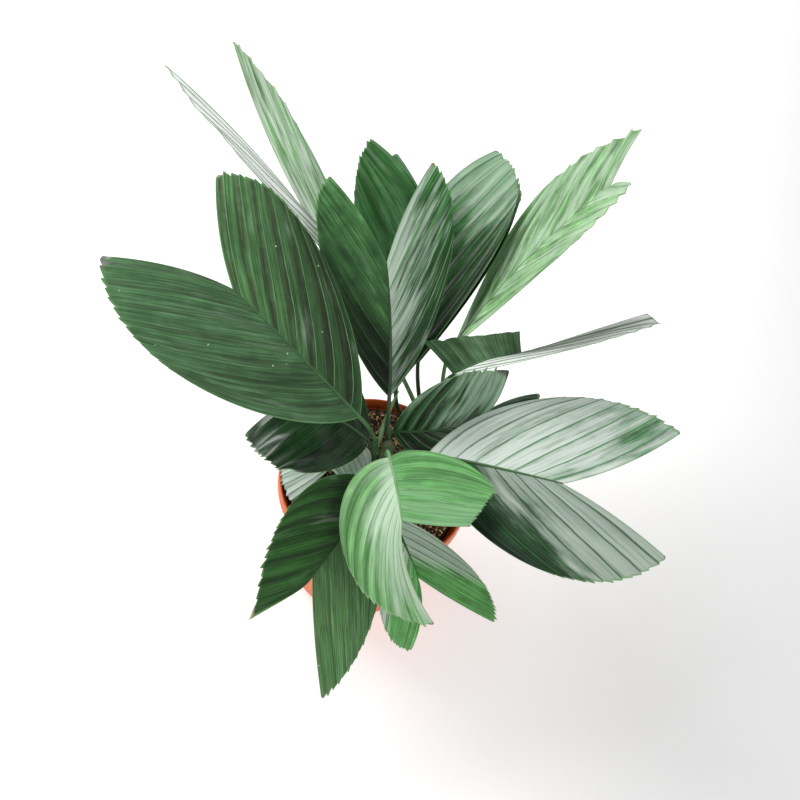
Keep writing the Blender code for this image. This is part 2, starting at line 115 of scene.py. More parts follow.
class Nodes:
    """Builds a node tree with short calls."""

    def __init__(self, tree: bpy.types.NodeTree) -> None:
        """Takes the tree to fill."""
        self.tree = tree

    def feed(self, node: bpy.types.Node, inputs: dict) -> None:
        """Fills a node's inputs, by name or number, with values or with links from sockets."""
        for name, value in inputs.items():
            if isinstance(value, bpy.types.NodeSocket):
                self.tree.links.new(value, node.inputs[name])
            else:
                node.inputs[name].default_value = value

    def add(self, kind: str, inputs: dict | None = None, **settings) -> bpy.types.Node:
        """Adds a node.

        Args:
            kind: the node's type.
            inputs: by socket name or number, a value or the socket to link from.
            settings: properties of the node.

        Returns:
            The node.
        """
        node = self.tree.nodes.new(kind)
        for name, value in settings.items():
            setattr(node, name, value)
        self.feed(node, inputs or {})
        return node

    def math(self, operation: str, *values, clamp: bool = False) -> bpy.types.NodeSocket:
        """Returns the result of a Math node on these values."""
        node = self.add("ShaderNodeMath", dict(enumerate(values)), operation=operation, use_clamp=clamp)
        return node.outputs[0]

    def plus(self, first, second) -> bpy.types.NodeSocket:
        """Returns the sum of two values."""
        return self.math("ADD", first, second)

    def minus(self, first, second) -> bpy.types.NodeSocket:
        """Returns the first value less the second."""
        return self.math("SUBTRACT", first, second)

    def times(self, first, second) -> bpy.types.NodeSocket:
        """Returns the product of two values."""
        return self.math("MULTIPLY", first, second)

    def remap(self, value, low: float, high: float, to_low: float = 0.0, to_high: float = 1.0):
        """Returns the value taken smoothly from one range to another."""
        inputs = {"Value": value, "From Min": low, "From Max": high, "To Min": to_low, "To Max": to_high}
        return self.add("ShaderNodeMapRange", inputs, interpolation_type="SMOOTHSTEP").outputs["Result"]

    def mix(self, share, first, second, blend: str = "MIX") -> bpy.types.NodeSocket:
        """Returns two colours mixed by a share."""
        colours = [c if isinstance(c, bpy.types.NodeSocket) else (*c, 1.0) for c in (first, second)]
        inputs = {0: share, 6: colours[0], 7: colours[1]}
        return self.add("ShaderNodeMix", inputs, data_type="RGBA", blend_type=blend).outputs[2]

    def place(self) -> bpy.types.NodeSocket:
        """Returns the object coordinates."""
        return self.add("ShaderNodeTexCoord").outputs["Object"]

    def split(self, vector) -> bpy.types.bpy_prop_collection:
        """Returns the parts X, Y and Z of a vector."""
        return self.add("ShaderNodeSeparateXYZ", {0: vector}).outputs

    def noise(self, vector, scale: float, detail: float = 3.0, rough: float = 0.5):
        """Returns the value of a Noise texture."""
        inputs = {"Vector": vector, "Scale": scale, "Detail": detail, "Roughness": rough}
        return self.add("ShaderNodeTexNoise", inputs).outputs[0]

    def stretch(self, vector, scale: tuple, place: tuple = (0, 0, 0)) -> bpy.types.NodeSocket:
        """Returns the vector scaled and moved."""
        return self.add("ShaderNodeMapping", {"Vector": vector, "Location": place, "Scale": scale}).outputs[0]

    def grey(self, value) -> bpy.types.NodeSocket:
        """Returns a value as a grey colour."""
        return self.add("ShaderNodeCombineColor", {0: value, 1: value, 2: value}).outputs[0]

    def shade(self, colour, value) -> bpy.types.NodeSocket:
        """Returns a colour multiplied by a value."""
        return self.mix(1.0, colour, self.grey(value), "MULTIPLY")

    def lean(self, spread, amounts: tuple) -> bpy.types.NodeSocket:
        """Returns a value that grows along a half-blade's midrib and from its midrib to its margin."""
        along, outwards = (self.times(self.minus(spread[axis], 0.5), a) for axis, a in zip("XY", amounts))
        return self.plus(along, outwards)

    def bump(self, shader: bpy.types.Node, height, strength: float, depth: float) -> None:
        """Raises a shader's surface by a height, to a depth in millimetres."""
        raised = self.add("ShaderNodeBump", {"Strength": strength, "Distance": depth * MM, "Height": height})
        self.feed(shader, {"Normal": raised.outputs[0]})


def surface(name: str) -> tuple[bpy.types.Material, Nodes, bpy.types.Node]:
    """Makes an empty Principled material.

    Args:
        name: the material's name.

    Returns:
        The material, its nodes and the shader.
    """
    made = bpy.data.materials.new(name)
    made.use_nodes = True
    return made, Nodes(made.node_tree), made.node_tree.nodes["Principled BSDF"]


# Finishes


@dataclass(frozen=True)
class LeafFinish:
    """How one half of a blade looks. Colours are linear. Each pair of leans says how much a look
    grows along the midrib and from the midrib to the margin."""

    base: tuple
    # The deep colour is painted shade, laid in the pleat hollow beside each rib.
    deep: tuple
    rib: tuple
    # Painted sheen: pale streaks mixed into the base colour stand for the light's reflection on the waxy
    # blade; the fields from here to the leans shape them.
    painted_sheen: float = 0.0
    painted_sheen_tone: tuple = (0.5, 0.58, 0.51)
    sheen_patch: float = 0.5
    soft: float = 0.1
    painted_sheen_lean: tuple = (0.0, 0.0)
    # Painted shade: the dark lean darkens the blade towards one end or side, most often towards the base.
    painted_shade_lean: tuple = (0.0, 0.0)
    rib_line: float = 0.5
    rib_width: float = 0.06
    # Painted shade in the pleat hollows: how strongly the blade darkens beside each rib, and on which side.
    fold: float = 0.6
    valley_shade_side: float = 0.3
    mottle: float = 0.3
    blush: tuple = (0.0, 0.0, 0.0)
    blushed: float = 0.0
    vein: float = 0.25
    edge: tuple = (0.16, 0.34, 0.13)
    dry: tuple = (0.42, 0.45, 0.38)
    dry_size: float = 0.05
    rough: float = 0.5
    gloss: float = 0.2
    coat: float = 0.0
    relief: float = 0.7
    specks: float = 0.0

    # Grain over the ribs: its scale across and along them, its shift, its detail and its roughness.
    GRAINS = (
        ((2.6, 0.16, 1.0), (0, 2.0, 0), 5.0, 0.7),
        ((6.5, 0.2, 1.0), (0, 5.0, 0), 3.0, 0.6),
        ((0.36, 0.2, 1.0), (0, 7.0, 0), 4.0, 0.55),
        ((1.5, 0.22, 1.0), (0, 9.0, 0), 3.0, 0.55),
    )
    WANDER_SCALE = 90.0
    SPECK_SCALE = 150.0
    SPECK_TONE = (0.6, 0.68, 0.6)
    COAT_ROUGH = 0.2
    RELIEF_DEPTH = 0.25

    def material(self, name: str) -> bpy.types.Material:
        """Builds the blade's material.

        Args:
            name: the material's name.

        Returns:
            A material that reads the maps Ribs and Lobe, and object coordinates.
        """
        made, nodes, shader = surface(name)
        ribs = nodes.add("ShaderNodeUVMap", uv_map="Ribs").outputs[0]
        spread = nodes.split(nodes.add("ShaderNodeUVMap", uv_map="Lobe").outputs[0])
        place = nodes.place()
        wander = nodes.noise(place, self.WANDER_SCALE)
        across = nodes.plus(nodes.split(ribs)["X"], nodes.times(nodes.minus(wander, 0.5), 0.25))
        from_rib = nodes.math("FRACT", nodes.times(nodes.plus(across, 1.0), 0.5))
        near = nodes.times(nodes.math("MINIMUM", from_rib, nodes.minus(1.0, from_rib)), 2.0)
        fine, hair, cloud, streak = (
            nodes.noise(nodes.stretch(ribs, scale, shift), 1.0, detail, rough)
            for scale, shift, detail, rough in self.GRAINS
        )
        tone = self._ground(nodes, spread, from_rib, cloud, wander)
        tone = nodes.shade(tone, nodes.remap(fine, 0.33, 0.67, 0.62, 1.38))
        tone = nodes.shade(tone, nodes.remap(hair, 0.42, 0.66, 1.0 - 0.8 * self.vein, 1.0 + 1.4 * self.vein))
        sheen_noise = nodes.add("ShaderNodeMix", {0: self.sheen_patch, 2: streak, 3: cloud}).outputs[0]
        # Painted sheen: pale streaks mixed into the base colour stand for reflected light.
        tone = nodes.mix(self._sheen_share(nodes, spread, near, fine, sheen_noise), tone, self.painted_sheen_tone)
        line = nodes.times(nodes.remap(near, 0.3 * self.rib_width, self.rib_width, 1.0, 0.0), self.rib_line)
        tone = nodes.mix(nodes.times(line, nodes.remap(fine, 0.3, 0.6, 0.6, 1.0)), tone, self.rib)
        tone = self._rim(nodes, tone, spread, wander, fine)
        if self.specks:
            dots = nodes.add("ShaderNodeTexVoronoi", {"Vector": place, "Scale": self.SPECK_SCALE}).outputs
            chosen = nodes.noise(dots["Position"], self.WANDER_SCALE, 0.0)
            chosen = nodes.math("GREATER_THAN", chosen, 0.7 - self.specks)
            dot = nodes.times(nodes.remap(dots["Distance"], 0.05, 0.1, 1.0, 0.0), chosen)
            tone = nodes.mix(dot, tone, self.SPECK_TONE)
        nodes.feed(shader, {
            "Base Color": tone,
            "Roughness": nodes.remap(fine, 0.3, 0.7, self.rough - 0.05, self.rough + 0.12),
            "Specular IOR Level": self.gloss,
            "Coat Weight": self.coat,
            "Coat Roughness": self.COAT_ROUGH,
        })
        relief = nodes.plus(nodes.times(fine, 0.8), nodes.times(hair, 0.3))
        nodes.bump(shader, relief, self.relief, self.RELIEF_DEPTH)
        return made

    def _ground(self, nodes: Nodes, spread, from_rib, cloud, wander) -> bpy.types.NodeSocket:
        """Gives the blade's colour, with painted shade in the pleat hollow beside each rib and painted shade
        where the dark lean points.

        Args:
            nodes: the material's nodes.
            spread: the place on the half-blade.
            from_rib: the way from one rib, 0, to the next, 1.
            cloud: slow noise along the ribs.
            wander: slow noise in space.

        Returns:
            The colour.
        """
        # Painted shade: the blade darkens towards the deep colour in the hollow beside each rib.
        apart = nodes.math("ABSOLUTE", nodes.minus(from_rib, self.valley_shade_side))
        valley_shade_mask = nodes.remap(nodes.math("MINIMUM", apart, nodes.minus(1.0, apart)), 0.04, 0.36, 1.0, 0.0)
        valley_shade_mask = nodes.times(valley_shade_mask, nodes.remap(wander, 0.3, 0.6, 0.45, 1.0))
        tone = nodes.mix(nodes.math("MULTIPLY", valley_shade_mask, self.fold, clamp=True), self.base, self.deep)
        if self.blushed:
            eased = 0.24 * self.blushed
            tone = nodes.mix(nodes.remap(cloud, 0.66 - eased, 0.8 - eased), tone, self.blush)
        # Random mottle, multiplied below by the painted shade of the dark lean.
        mottle_and_shade = nodes.plus(nodes.times(cloud, 0.5), nodes.times(wander, 0.5))
        mottle_and_shade = nodes.remap(mottle_and_shade, 0.34, 0.66, 1.0 - self.mottle, 1.0 + self.mottle)
        # Painted shade: darker where the dark lean points, most often towards the base.
        if any(self.painted_shade_lean):
            dark = nodes.minus(1.0, nodes.lean(spread, self.painted_shade_lean))
            mottle_and_shade = nodes.times(mottle_and_shade, nodes.math("MAXIMUM", dark, 0.15))
        return nodes.shade(tone, mottle_and_shade)

    def _sheen_share(self, nodes: Nodes, spread, near, fine, sheen_noise) -> bpy.types.NodeSocket:
        """Gives how much painted sheen lies on the blade: pale streaks in the base colour that stand for the
        light's reflection.

        Args:
            nodes: the material's nodes.
            spread: the place on the half-blade.
            near: the distance from the nearest rib.
            fine: quick noise across the ribs.
            sheen_noise: noise that says where the painted sheen is.

        Returns:
            A share from 0 to 1.
        """
        edge = 0.64 - 0.28 * self.painted_sheen
        sheen_noise = nodes.plus(sheen_noise, nodes.lean(spread, self.painted_sheen_lean))
        sheen_mask = nodes.remap(sheen_noise, edge - self.soft, edge + self.soft)
        sheen_mask = nodes.times(sheen_mask, nodes.remap(near, 0.0, 3.0 * self.rib_width, 0.25, 1.0))
        sheen_mask = nodes.times(sheen_mask, nodes.remap(fine, 0.3, 0.55, 0.55, 1.0))
        return nodes.times(sheen_mask, min(1.0, 0.35 + self.painted_sheen))

    def _rim(self, nodes: Nodes, tone, spread, wander, fine) -> bpy.types.NodeSocket:
        """Lays the pale margin and the dried tip over a colour.

        Args:
            nodes: the material's nodes.
            tone: the colour below.
            spread: the place on the half-blade.
            wander: slow noise in space.
            fine: quick noise across the ribs.

        Returns:
            The colour.
        """
        uneven = nodes.times(nodes.minus(wander, 0.5), 0.03)
        margin = nodes.remap(nodes.plus(spread["Y"], uneven), 0.98, 1.0)
        first, last = nodes.remap(spread["X"], 0.0, 0.01, 1.0, 0.0), nodes.remap(spread["X"], 0.99, 1.0)
        rim = nodes.math("MAXIMUM", margin, nodes.math("MAXIMUM", last, first))
        tone = nodes.mix(nodes.times(rim, 0.7), tone, self.edge)
        short = nodes.times(nodes.minus(1.0, spread["Y"]), 1.6)
        reach = nodes.plus(nodes.minus(1.0, spread["X"]), short)
        reach = nodes.plus(reach, nodes.times(nodes.minus(fine, 0.5), 2.4 * self.dry_size))
        dried = nodes.remap(reach, 0.5 * self.dry_size, 1.1 * self.dry_size, 1.0, 0.0)
        burnt = nodes.mix(nodes.remap(wander, 0.4, 0.6), self.dry, tuple(0.35 * c for c in self.dry))
        return nodes.mix(nodes.times(dried, 0.9), tone, burnt)


class Leaf(Enum):
    """The finishes that the half-blades wear. Their tones are set for each half-blade, and the two halves of
    one frond often differ: partly the leaf's own colour, partly painted light and shade for how the light
    falls on each half.
    """

    DARK = LeafFinish(
        (0.062, 0.152, 0.056), (0.030, 0.046, 0.019), (0.20, 0.46, 0.18), painted_shade_lean=(-1.25, 0.0),
        rib_line=0.45, fold=0.9, valley_shade_side=0.2, mottle=0.2, dry_size=0.06, specks=0.03
    )
    DARK_LEFT = LeafFinish(
        (0.074, 0.178, 0.073), (0.050, 0.092, 0.044), (0.085, 0.23, 0.08), painted_sheen=0.12,
        painted_sheen_tone=(0.26, 0.37, 0.27), soft=0.09, painted_shade_lean=(-0.4, -0.3), rib_line=0.6, fold=0.8,
        mottle=0.2, dry=(0.50, 0.54, 0.50), dry_size=0.12, specks=0.07
    )
    MOTTLED = LeafFinish(
        (0.032, 0.094, 0.030), (0.016, 0.040, 0.014), (0.05, 0.13, 0.045), painted_shade_lean=(-1.9, -0.7),
        rib_line=0.4, fold=0.4, mottle=0.45, blush=(0.055, 0.20, 0.032), blushed=0.3, rough=0.48,
        gloss=0.15, specks=0.04
    )
    SHEEN_PAINTED = LeafFinish(
        (0.040, 0.140, 0.040), (0.012, 0.048, 0.012), (0.46, 0.58, 0.46), painted_sheen=0.38,
        painted_sheen_tone=(0.60, 0.72, 0.61), sheen_patch=0.35, soft=0.11, painted_sheen_lean=(0.2, -0.2),
        painted_shade_lean=(-0.9, -0.3), rib_line=0.4, fold=0.9, vein=0.6, dry=(0.36, 0.30, 0.12),
        dry_size=0.07, rough=0.42, gloss=0.25
    )
    GLOSSY = LeafFinish(
        (0.016, 0.085, 0.014), (0.005, 0.024, 0.005), (0.08, 0.20, 0.08), painted_sheen=0.2,
        painted_sheen_tone=(0.14, 0.34, 0.15), sheen_patch=1.0, soft=0.14, painted_sheen_lean=(0.0, -0.2),
        painted_shade_lean=(-0.6, -0.6), rib_line=0.25, rib_width=0.05, fold=0.2, vein=0.1, rough=0.36,
        gloss=0.25
    )
    GLOSSY_LIGHT = LeafFinish(
        (0.020, 0.105, 0.018), (0.004, 0.026, 0.004), (0.50, 0.62, 0.51), painted_sheen=0.26,
        painted_sheen_tone=(0.42, 0.58, 0.43), sheen_patch=0.65, soft=0.09, painted_sheen_lean=(0.35, 0.3),
        painted_shade_lean=(-1.4, -0.8), rib_line=0.4, rib_width=0.05, vein=0.35, rough=0.3, gloss=0.35
    )
    INNER = LeafFinish(
        (0.040, 0.140, 0.042), (0.003, 0.014, 0.003), (0.30, 0.48, 0.30), painted_sheen=0.38,
        painted_sheen_tone=(0.46, 0.64, 0.48), sheen_patch=0.6, soft=0.08, painted_sheen_lean=(0.1, 0.1), rib_line=0.7,
        rib_width=0.1, fold=1.0, valley_shade_side=0.5, vein=0.2, dry=(0.09, 0.055, 0.03), dry_size=0.16,
        rough=0.34, gloss=0.35
    )
    SHADED = LeafFinish(
        (0.026, 0.080, 0.026), (0.005, 0.018, 0.005), (0.30, 0.42, 0.30), painted_sheen=0.15,
        painted_sheen_tone=(0.25, 0.36, 0.27), sheen_patch=0.2, rib_line=0.7, rib_width=0.1, fold=1.0, vein=0.5,
        rough=0.4
    )
    UNDULATE = LeafFinish(
        (0.011, 0.040, 0.011), (0.006, 0.020, 0.006), (0.02, 0.06, 0.02), painted_sheen=0.04,
        painted_sheen_tone=(0.05, 0.15, 0.06), sheen_patch=1.0, rib_line=0.1, rib_width=0.1, fold=0.1, mottle=0.4,
        vein=0.0, rough=0.22, gloss=0.4, coat=0.3, relief=0.06
    )
    PALE = LeafFinish(
        (0.12, 0.29, 0.14), (0.07, 0.20, 0.08), (0.08, 0.24, 0.09), painted_sheen=0.78,
        painted_sheen_tone=(0.62, 0.69, 0.63), sheen_patch=0.6, soft=0.12, painted_sheen_lean=(-0.12, -0.06), rib_line=0.8,
        rib_width=0.07, fold=0.5, vein=0.28, dry=(0.12, 0.10, 0.04), dry_size=0.035, rough=0.42,
        gloss=0.3
    )
    PALE_DARK = LeafFinish(
        (0.034, 0.11, 0.040), (0.013, 0.045, 0.015), (0.025, 0.08, 0.03), painted_sheen=0.56,
        painted_sheen_tone=(0.42, 0.50, 0.43), sheen_patch=0.7, soft=0.12, painted_sheen_lean=(0.65, 0.0),
        painted_shade_lean=(-1.5, 0.15), rib_line=0.75, rib_width=0.07, vein=0.45, dry=(0.12, 0.10, 0.04),
        dry_size=0.03, rough=0.4, gloss=0.25
    )
    STRIP = LeafFinish(
        (0.5, 0.62, 0.5), (0.10, 0.17, 0.10), (0.05, 0.11, 0.05), painted_sheen=0.9,
        painted_sheen_tone=(0.93, 0.95, 0.93), sheen_patch=0.3, soft=0.12, rib_line=0.8, rib_width=0.14, vein=0.4,
        rough=0.42, gloss=0.3
    )
    FOLDED = LeafFinish(
        (0.096, 0.190, 0.092), (0.070, 0.145, 0.068), (0.10, 0.20, 0.09), painted_sheen=0.12,
        painted_sheen_tone=(0.2, 0.28, 0.2), sheen_patch=0.8, rib_line=0.15, rib_width=0.1, fold=0.2, vein=0.1,
        edge=(0.14, 0.26, 0.09), dry_size=0.03
    )
    YOUNG = LeafFinish(
        (0.134, 0.370, 0.118), (0.09, 0.27, 0.08), (0.46, 0.68, 0.42), painted_sheen=0.25,
        painted_sheen_tone=(0.26, 0.46, 0.26), sheen_patch=0.7, painted_sheen_lean=(0.3, 0.0), rib_line=0.75,
        rib_width=0.05, valley_shade_side=0.15, mottle=0.15, vein=0.12, edge=(0.28, 0.42, 0.2),
        dry=(0.20, 0.14, 0.06)
    )
    YOUNG_PALE = LeafFinish(
        (0.28, 0.54, 0.235), (0.04, 0.15, 0.025), (0.60, 0.74, 0.56), painted_sheen=0.45,
        painted_sheen_tone=(0.58, 0.73, 0.56), sheen_patch=0.3, soft=0.11, rib_width=0.07, fold=1.0,
        edge=(0.34, 0.5, 0.25), dry_size=0.03
    )
    BROAD = LeafFinish(
        (0.20, 0.46, 0.17), (0.06, 0.22, 0.05), (0.46, 0.68, 0.44), painted_sheen=0.6,
        painted_sheen_tone=(0.55, 0.71, 0.54), sheen_patch=0.6, soft=0.14, painted_sheen_lean=(0.45, -0.45),
        painted_shade_lean=(-0.35, 0.3), rib_line=0.3, rib_width=0.05, fold=0.75, mottle=0.15, vein=0.15,
        edge=(0.34, 0.5, 0.25), rough=0.46, gloss=0.25
    )
    BACK = LeafFinish(
        (0.27, 0.53, 0.24), (0.08, 0.24, 0.06), (0.64, 0.75, 0.62), painted_sheen=0.5,
        painted_sheen_tone=(0.72, 0.81, 0.71), sheen_patch=0.3, soft=0.11, rib_width=0.07, fold=0.8,
        edge=(0.4, 0.55, 0.3), dry_size=0.03
    )
    OLIVE = LeafFinish(
        (0.026, 0.088, 0.020), (0.014, 0.044, 0.011), (0.05, 0.14, 0.04), painted_shade_lean=(-0.4, -0.3),
        rib_line=0.4, fold=0.8, mottle=0.2, blush=(0.05, 0.09, 0.03), blushed=0.1, vein=0.2,
        dry=(0.40, 0.36, 0.26), gloss=0.15
    )
    MID = LeafFinish(
        (0.106, 0.242, 0.086), (0.036, 0.09, 0.029), (0.035, 0.09, 0.03), painted_sheen=0.06,
        painted_sheen_tone=(0.30, 0.42, 0.29), sheen_patch=0.3, painted_shade_lean=(-0.3, -0.3), rib_width=0.07, mottle=0.2,
        vein=0.3, specks=0.03
    )
    FRESH = LeafFinish(
        (0.160, 0.46, 0.135), (0.095, 0.29, 0.080), (0.07, 0.20, 0.06), painted_sheen=0.56,
        painted_sheen_tone=(0.64, 0.74, 0.65), painted_sheen_lean=(-0.9, -0.3), rib_width=0.07, mottle=0.35,
        rough=0.44, gloss=0.25, specks=0.09
    )
    SMALL = LeafFinish(
        (0.26, 0.50, 0.29), (0.15, 0.34, 0.17), (0.12, 0.30, 0.14), painted_sheen=0.8,
        painted_sheen_tone=(0.80, 0.88, 0.81), dry=(0.80, 0.82, 0.78), dry_size=0.12, rough=0.42, gloss=0.3
    )
    UNDER = LeafFinish(
        (0.12, 0.22, 0.12), (0.08, 0.15, 0.08), (0.18, 0.3, 0.16), painted_sheen=0.3,
        painted_sheen_tone=(0.26, 0.36, 0.26), rib_line=0.7, rib_width=0.1, rough=0.55
    )

    def material(self) -> bpy.types.Material:
        """Returns the finish's material, made once."""
        name = "Leaf_" + self.name.lower()
        return bpy.data.materials.get(name) or self.value.material(name)


@dataclass(frozen=True)
class StemFinish:
    """Smooth plant skin with lengthwise grain, for stalks, ribs and canes."""

    name: str
    base: tuple
    deep: tuple
    rough: float = 0.45
    scale: float = 250.0

    def material(self) -> bpy.types.Material:
        """Builds the material, or returns it if it is there."""
        if self.name in bpy.data.materials:
            return bpy.data.materials[self.name]
        made, nodes, shader = surface(self.name)
        place = nodes.place()
        blotch = nodes.noise(place, self.scale * 0.4)
        grain = nodes.noise(nodes.stretch(place, (1.0, 1.0, 0.12)), self.scale * 4)
        share = nodes.times(nodes.remap(blotch, 0.35, 0.65), nodes.remap(grain, 0.2, 0.7, 0.5, 1.0))
        nodes.feed(shader, {
            "Base Color": nodes.mix(share, self.base, self.deep),
            "Roughness": nodes.remap(grain, 0.3, 0.7, self.rough - 0.06, self.rough + 0.1),
        })
        nodes.bump(shader, grain, 0.4, 0.2)
        return made


class Stem(Enum):
    """The finishes of stalks, ribs and canes."""

    DARK = StemFinish("Stalk_dark", (0.030, 0.075, 0.025), (0.015, 0.04, 0.013))
    GREEN = StemFinish("Stalk_green", (0.055, 0.155, 0.045), (0.03, 0.09, 0.025))
    LIGHT = StemFinish("Stalk_light", (0.22, 0.42, 0.19), (0.14, 0.3, 0.11))
    PALE = StemFinish("Stalk_pale", (0.32, 0.44, 0.31), (0.2, 0.32, 0.2))
    CANE = StemFinish("Cane_skin", (0.085, 0.15, 0.05), (0.05, 0.07, 0.03), 0.55, 180.0)
    SCAR = StemFinish("Cane_scar", (0.16, 0.12, 0.06), (0.08, 0.05, 0.025), 0.8, 300.0)


@dataclass(frozen=True)
class PlasticFinish:
    """Satin moulded plastic: faint mould texture, turning rings and rubbed edges."""

    name: str = "Pot_plastic"
    base: tuple = (0.84, 0.150, 0.028)
    worn: tuple = (0.80, 0.27, 0.08)
    rough: float = 0.42
    ring_pitch: float = 1.3

    def material(self) -> bpy.types.Material:
        """Builds the pot's material."""
        made, nodes, shader = surface(self.name)
        place = nodes.place()
        ring = nodes.math("SINE", nodes.times(nodes.split(place)["Z"], 2 * math.pi / (self.ring_pitch * MM)))
        cloud, grain = nodes.noise(place, 30.0, 4.0), nodes.noise(place, 1400.0, 2.0)
        rubbed = nodes.noise(nodes.stretch(place, (1.0, 1.0, 3.0)), 70.0, 5.0, 0.7)
        tone = nodes.mix(nodes.times(nodes.remap(rubbed, 0.56, 0.72), 0.35), self.base, self.worn)
        nodes.feed(shader, {
            "Base Color": nodes.shade(tone, nodes.remap(cloud, 0.3, 0.7, 0.9, 1.06)),
            "Roughness": nodes.remap(cloud, 0.3, 0.7, self.rough - 0.06, self.rough + 0.12),
        })
        nodes.bump(shader, nodes.plus(nodes.times(ring, 0.06), nodes.times(grain, 0.4)), 0.35, 0.12)
        return made


@dataclass(frozen=True)
class ChipFinish:
    """Chips of bark and coir, each with its own tone from near black to tan."""

    name: str = "Coir_chips"
    tones: tuple = (
        (0.0, (0.010, 0.007, 0.005)),
        (0.30, (0.035, 0.018, 0.009)),
        (0.50, (0.26, 0.105, 0.035)),
        (0.76, (0.62, 0.31, 0.12)),
        (1.0, (0.85, 0.62, 0.34)),
    )

    def material(self) -> bpy.types.Material:
        """Builds the chips' material, which reads the attribute chip_tone."""
        made, nodes, shader = surface(self.name)
        tone = nodes.add("ShaderNodeAttribute", attribute_name="chip_tone").outputs["Fac"]
        grain = nodes.noise(nodes.place(), 900.0)
        moved = nodes.math("ADD", tone, nodes.times(nodes.plus(grain, -0.5), 0.35), clamp=True)
        ramp = nodes.add("ShaderNodeValToRGB", {0: moved})
        stops = ramp.color_ramp.elements
        while len(stops) < len(self.tones):
            stops.new(0.5)
        for stop, (position, colour) in zip(stops, self.tones):
            stop.position = position
            stop.color = (*colour, 1.0)
        nodes.feed(shader, {"Base Color": ramp.outputs[0], "Roughness": 0.85})
        nodes.bump(shader, grain, 0.6, 0.2)
        return made


# Meshes


def add_object(name: str, data: bpy.types.ID) -> bpy.types.Object:
    """Returns a new object of the scene with this mesh, lamp or camera."""
    made = bpy.data.objects.new(name, data)
    bpy.context.scene.collection.objects.link(made)
    return made


def plain_mesh(obj: bpy.types.Object, name: str) -> bpy.types.Mesh:
    """Takes an object's evaluated mesh and removes the object.

    Args:
        obj: an object with modifiers.
        name: the new mesh's name.

    Returns:
        The mesh, free of modifiers.
    """
    bpy.context.view_layer.update()
    graph = bpy.context.evaluated_depsgraph_get()
    mesh = bpy.data.meshes.new_from_object(obj.evaluated_get(graph), depsgraph=graph)
    mesh.name = name
    bpy.data.objects.remove(obj)
    return mesh


def wear(mesh: bpy.types.Mesh, *materials: bpy.types.Material) -> None:
    """Gives the mesh exactly these materials, and leaves each face its slot."""
    if mesh.materials:
        mesh.materials.clear()
    for material in materials:
        mesh.materials.append(material)


def soften(mesh: bpy.types.Mesh, angle: float) -> None:
    """Shades the mesh smooth, with edges over this angle left sharp."""
    mesh.shade_smooth()
    mesh.set_sharp_from_angle(angle=math.radians(angle))


def join(name: str, meshes: list[bpy.types.Mesh]) -> bpy.types.Object:
    """Joins meshes, with their materials, into one object.

    Args:
        name: the object's name.
        meshes: what to join, each placed in the row frame.

    Returns:
        The object, at the origin.
    """
    pieces = [add_object(f"{name}_{i}", mesh) for i, mesh in enumerate(meshes)]
    with bpy.context.temp_override(active_object=pieces[0], selected_editable_objects=pieces):
        bpy.ops.object.join()
    pieces[0].name = name
    return pieces[0]


def place(piece: bpy.types.Object, slot: str, *nodes: str) -> None:
    """Sets the piece on the plant in the place of its nodes.

    Args:
        piece: a finished object at the origin.
        slot: not used.
        nodes: the solids it stands for.
    """
    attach(piece, "root")
    if nodes:
        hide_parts(*nodes)
    LOG.info("%s: %d faces", piece.name, len(piece.data.polygons))


def closed_mesh(work: bmesh.types.BMesh, name: str) -> bpy.types.Mesh:
    """Turns the faces of a closed form outwards.

    Args:
        work: the form, which is used up.
        name: the mesh's name.

    Returns:
        The form as a mesh.
    """
    bmesh.ops.recalc_face_normals(work, faces=work.faces)
    mesh = bpy.data.meshes.new(name)
    work.to_mesh(mesh)
    work.free()
    return mesh


def circle(radius: float, count: int, centre: tuple = (0.0, 0.0)) -> list:
    """Returns evenly spaced points of a level circle."""
    turns = [2 * math.pi * k / count for k in range(count)]
    return [(centre[0] + radius * math.cos(a), centre[1] + radius * math.sin(a)) for a in turns]


def skin_rings(work: bmesh.types.BMesh, rings: list) -> None:
    """Lays faces from each ring of vertices to the next.

    Args:
        work: the form that the vertices are in.
        rings: lists of one length, where a pole is one vertex over and over.
    """
    for upper, lower in zip(rings, rings[1:]):
        for k in range(len(upper)):
            after = (k + 1) % len(upper)
            corners = list(dict.fromkeys([upper[k], lower[k], lower[after], upper[after]]))
            if len(corners) > 2:
                work.faces.new(corners)


def lathe(name: str, outline: list, segments: int, centre: tuple = (0.0, 0.0)) -> bpy.types.Mesh:
    """Turns an outline round an upright axis.

    Args:
        name: the mesh's name.
        outline: (radius, height) pairs from the upper pole to the lower one, down the outer side.
        segments: the number of steps of a full turn.
        centre: the axis's place.

    Returns:
        A closed mesh whose faces point outwards.
    """
    work = bmesh.new()
    rings = []
    for radius, height in outline:
        if radius == 0:
            rings.append([work.verts.new((centre[0] * MM, centre[1] * MM, height * MM))] * segments)
        else:
            spots = circle(radius, segments, centre)
            rings.append([work.verts.new((x * MM, y * MM, height * MM)) for x, y in spots])
    skin_rings(work, rings)
    return closed_mesh(work, name)


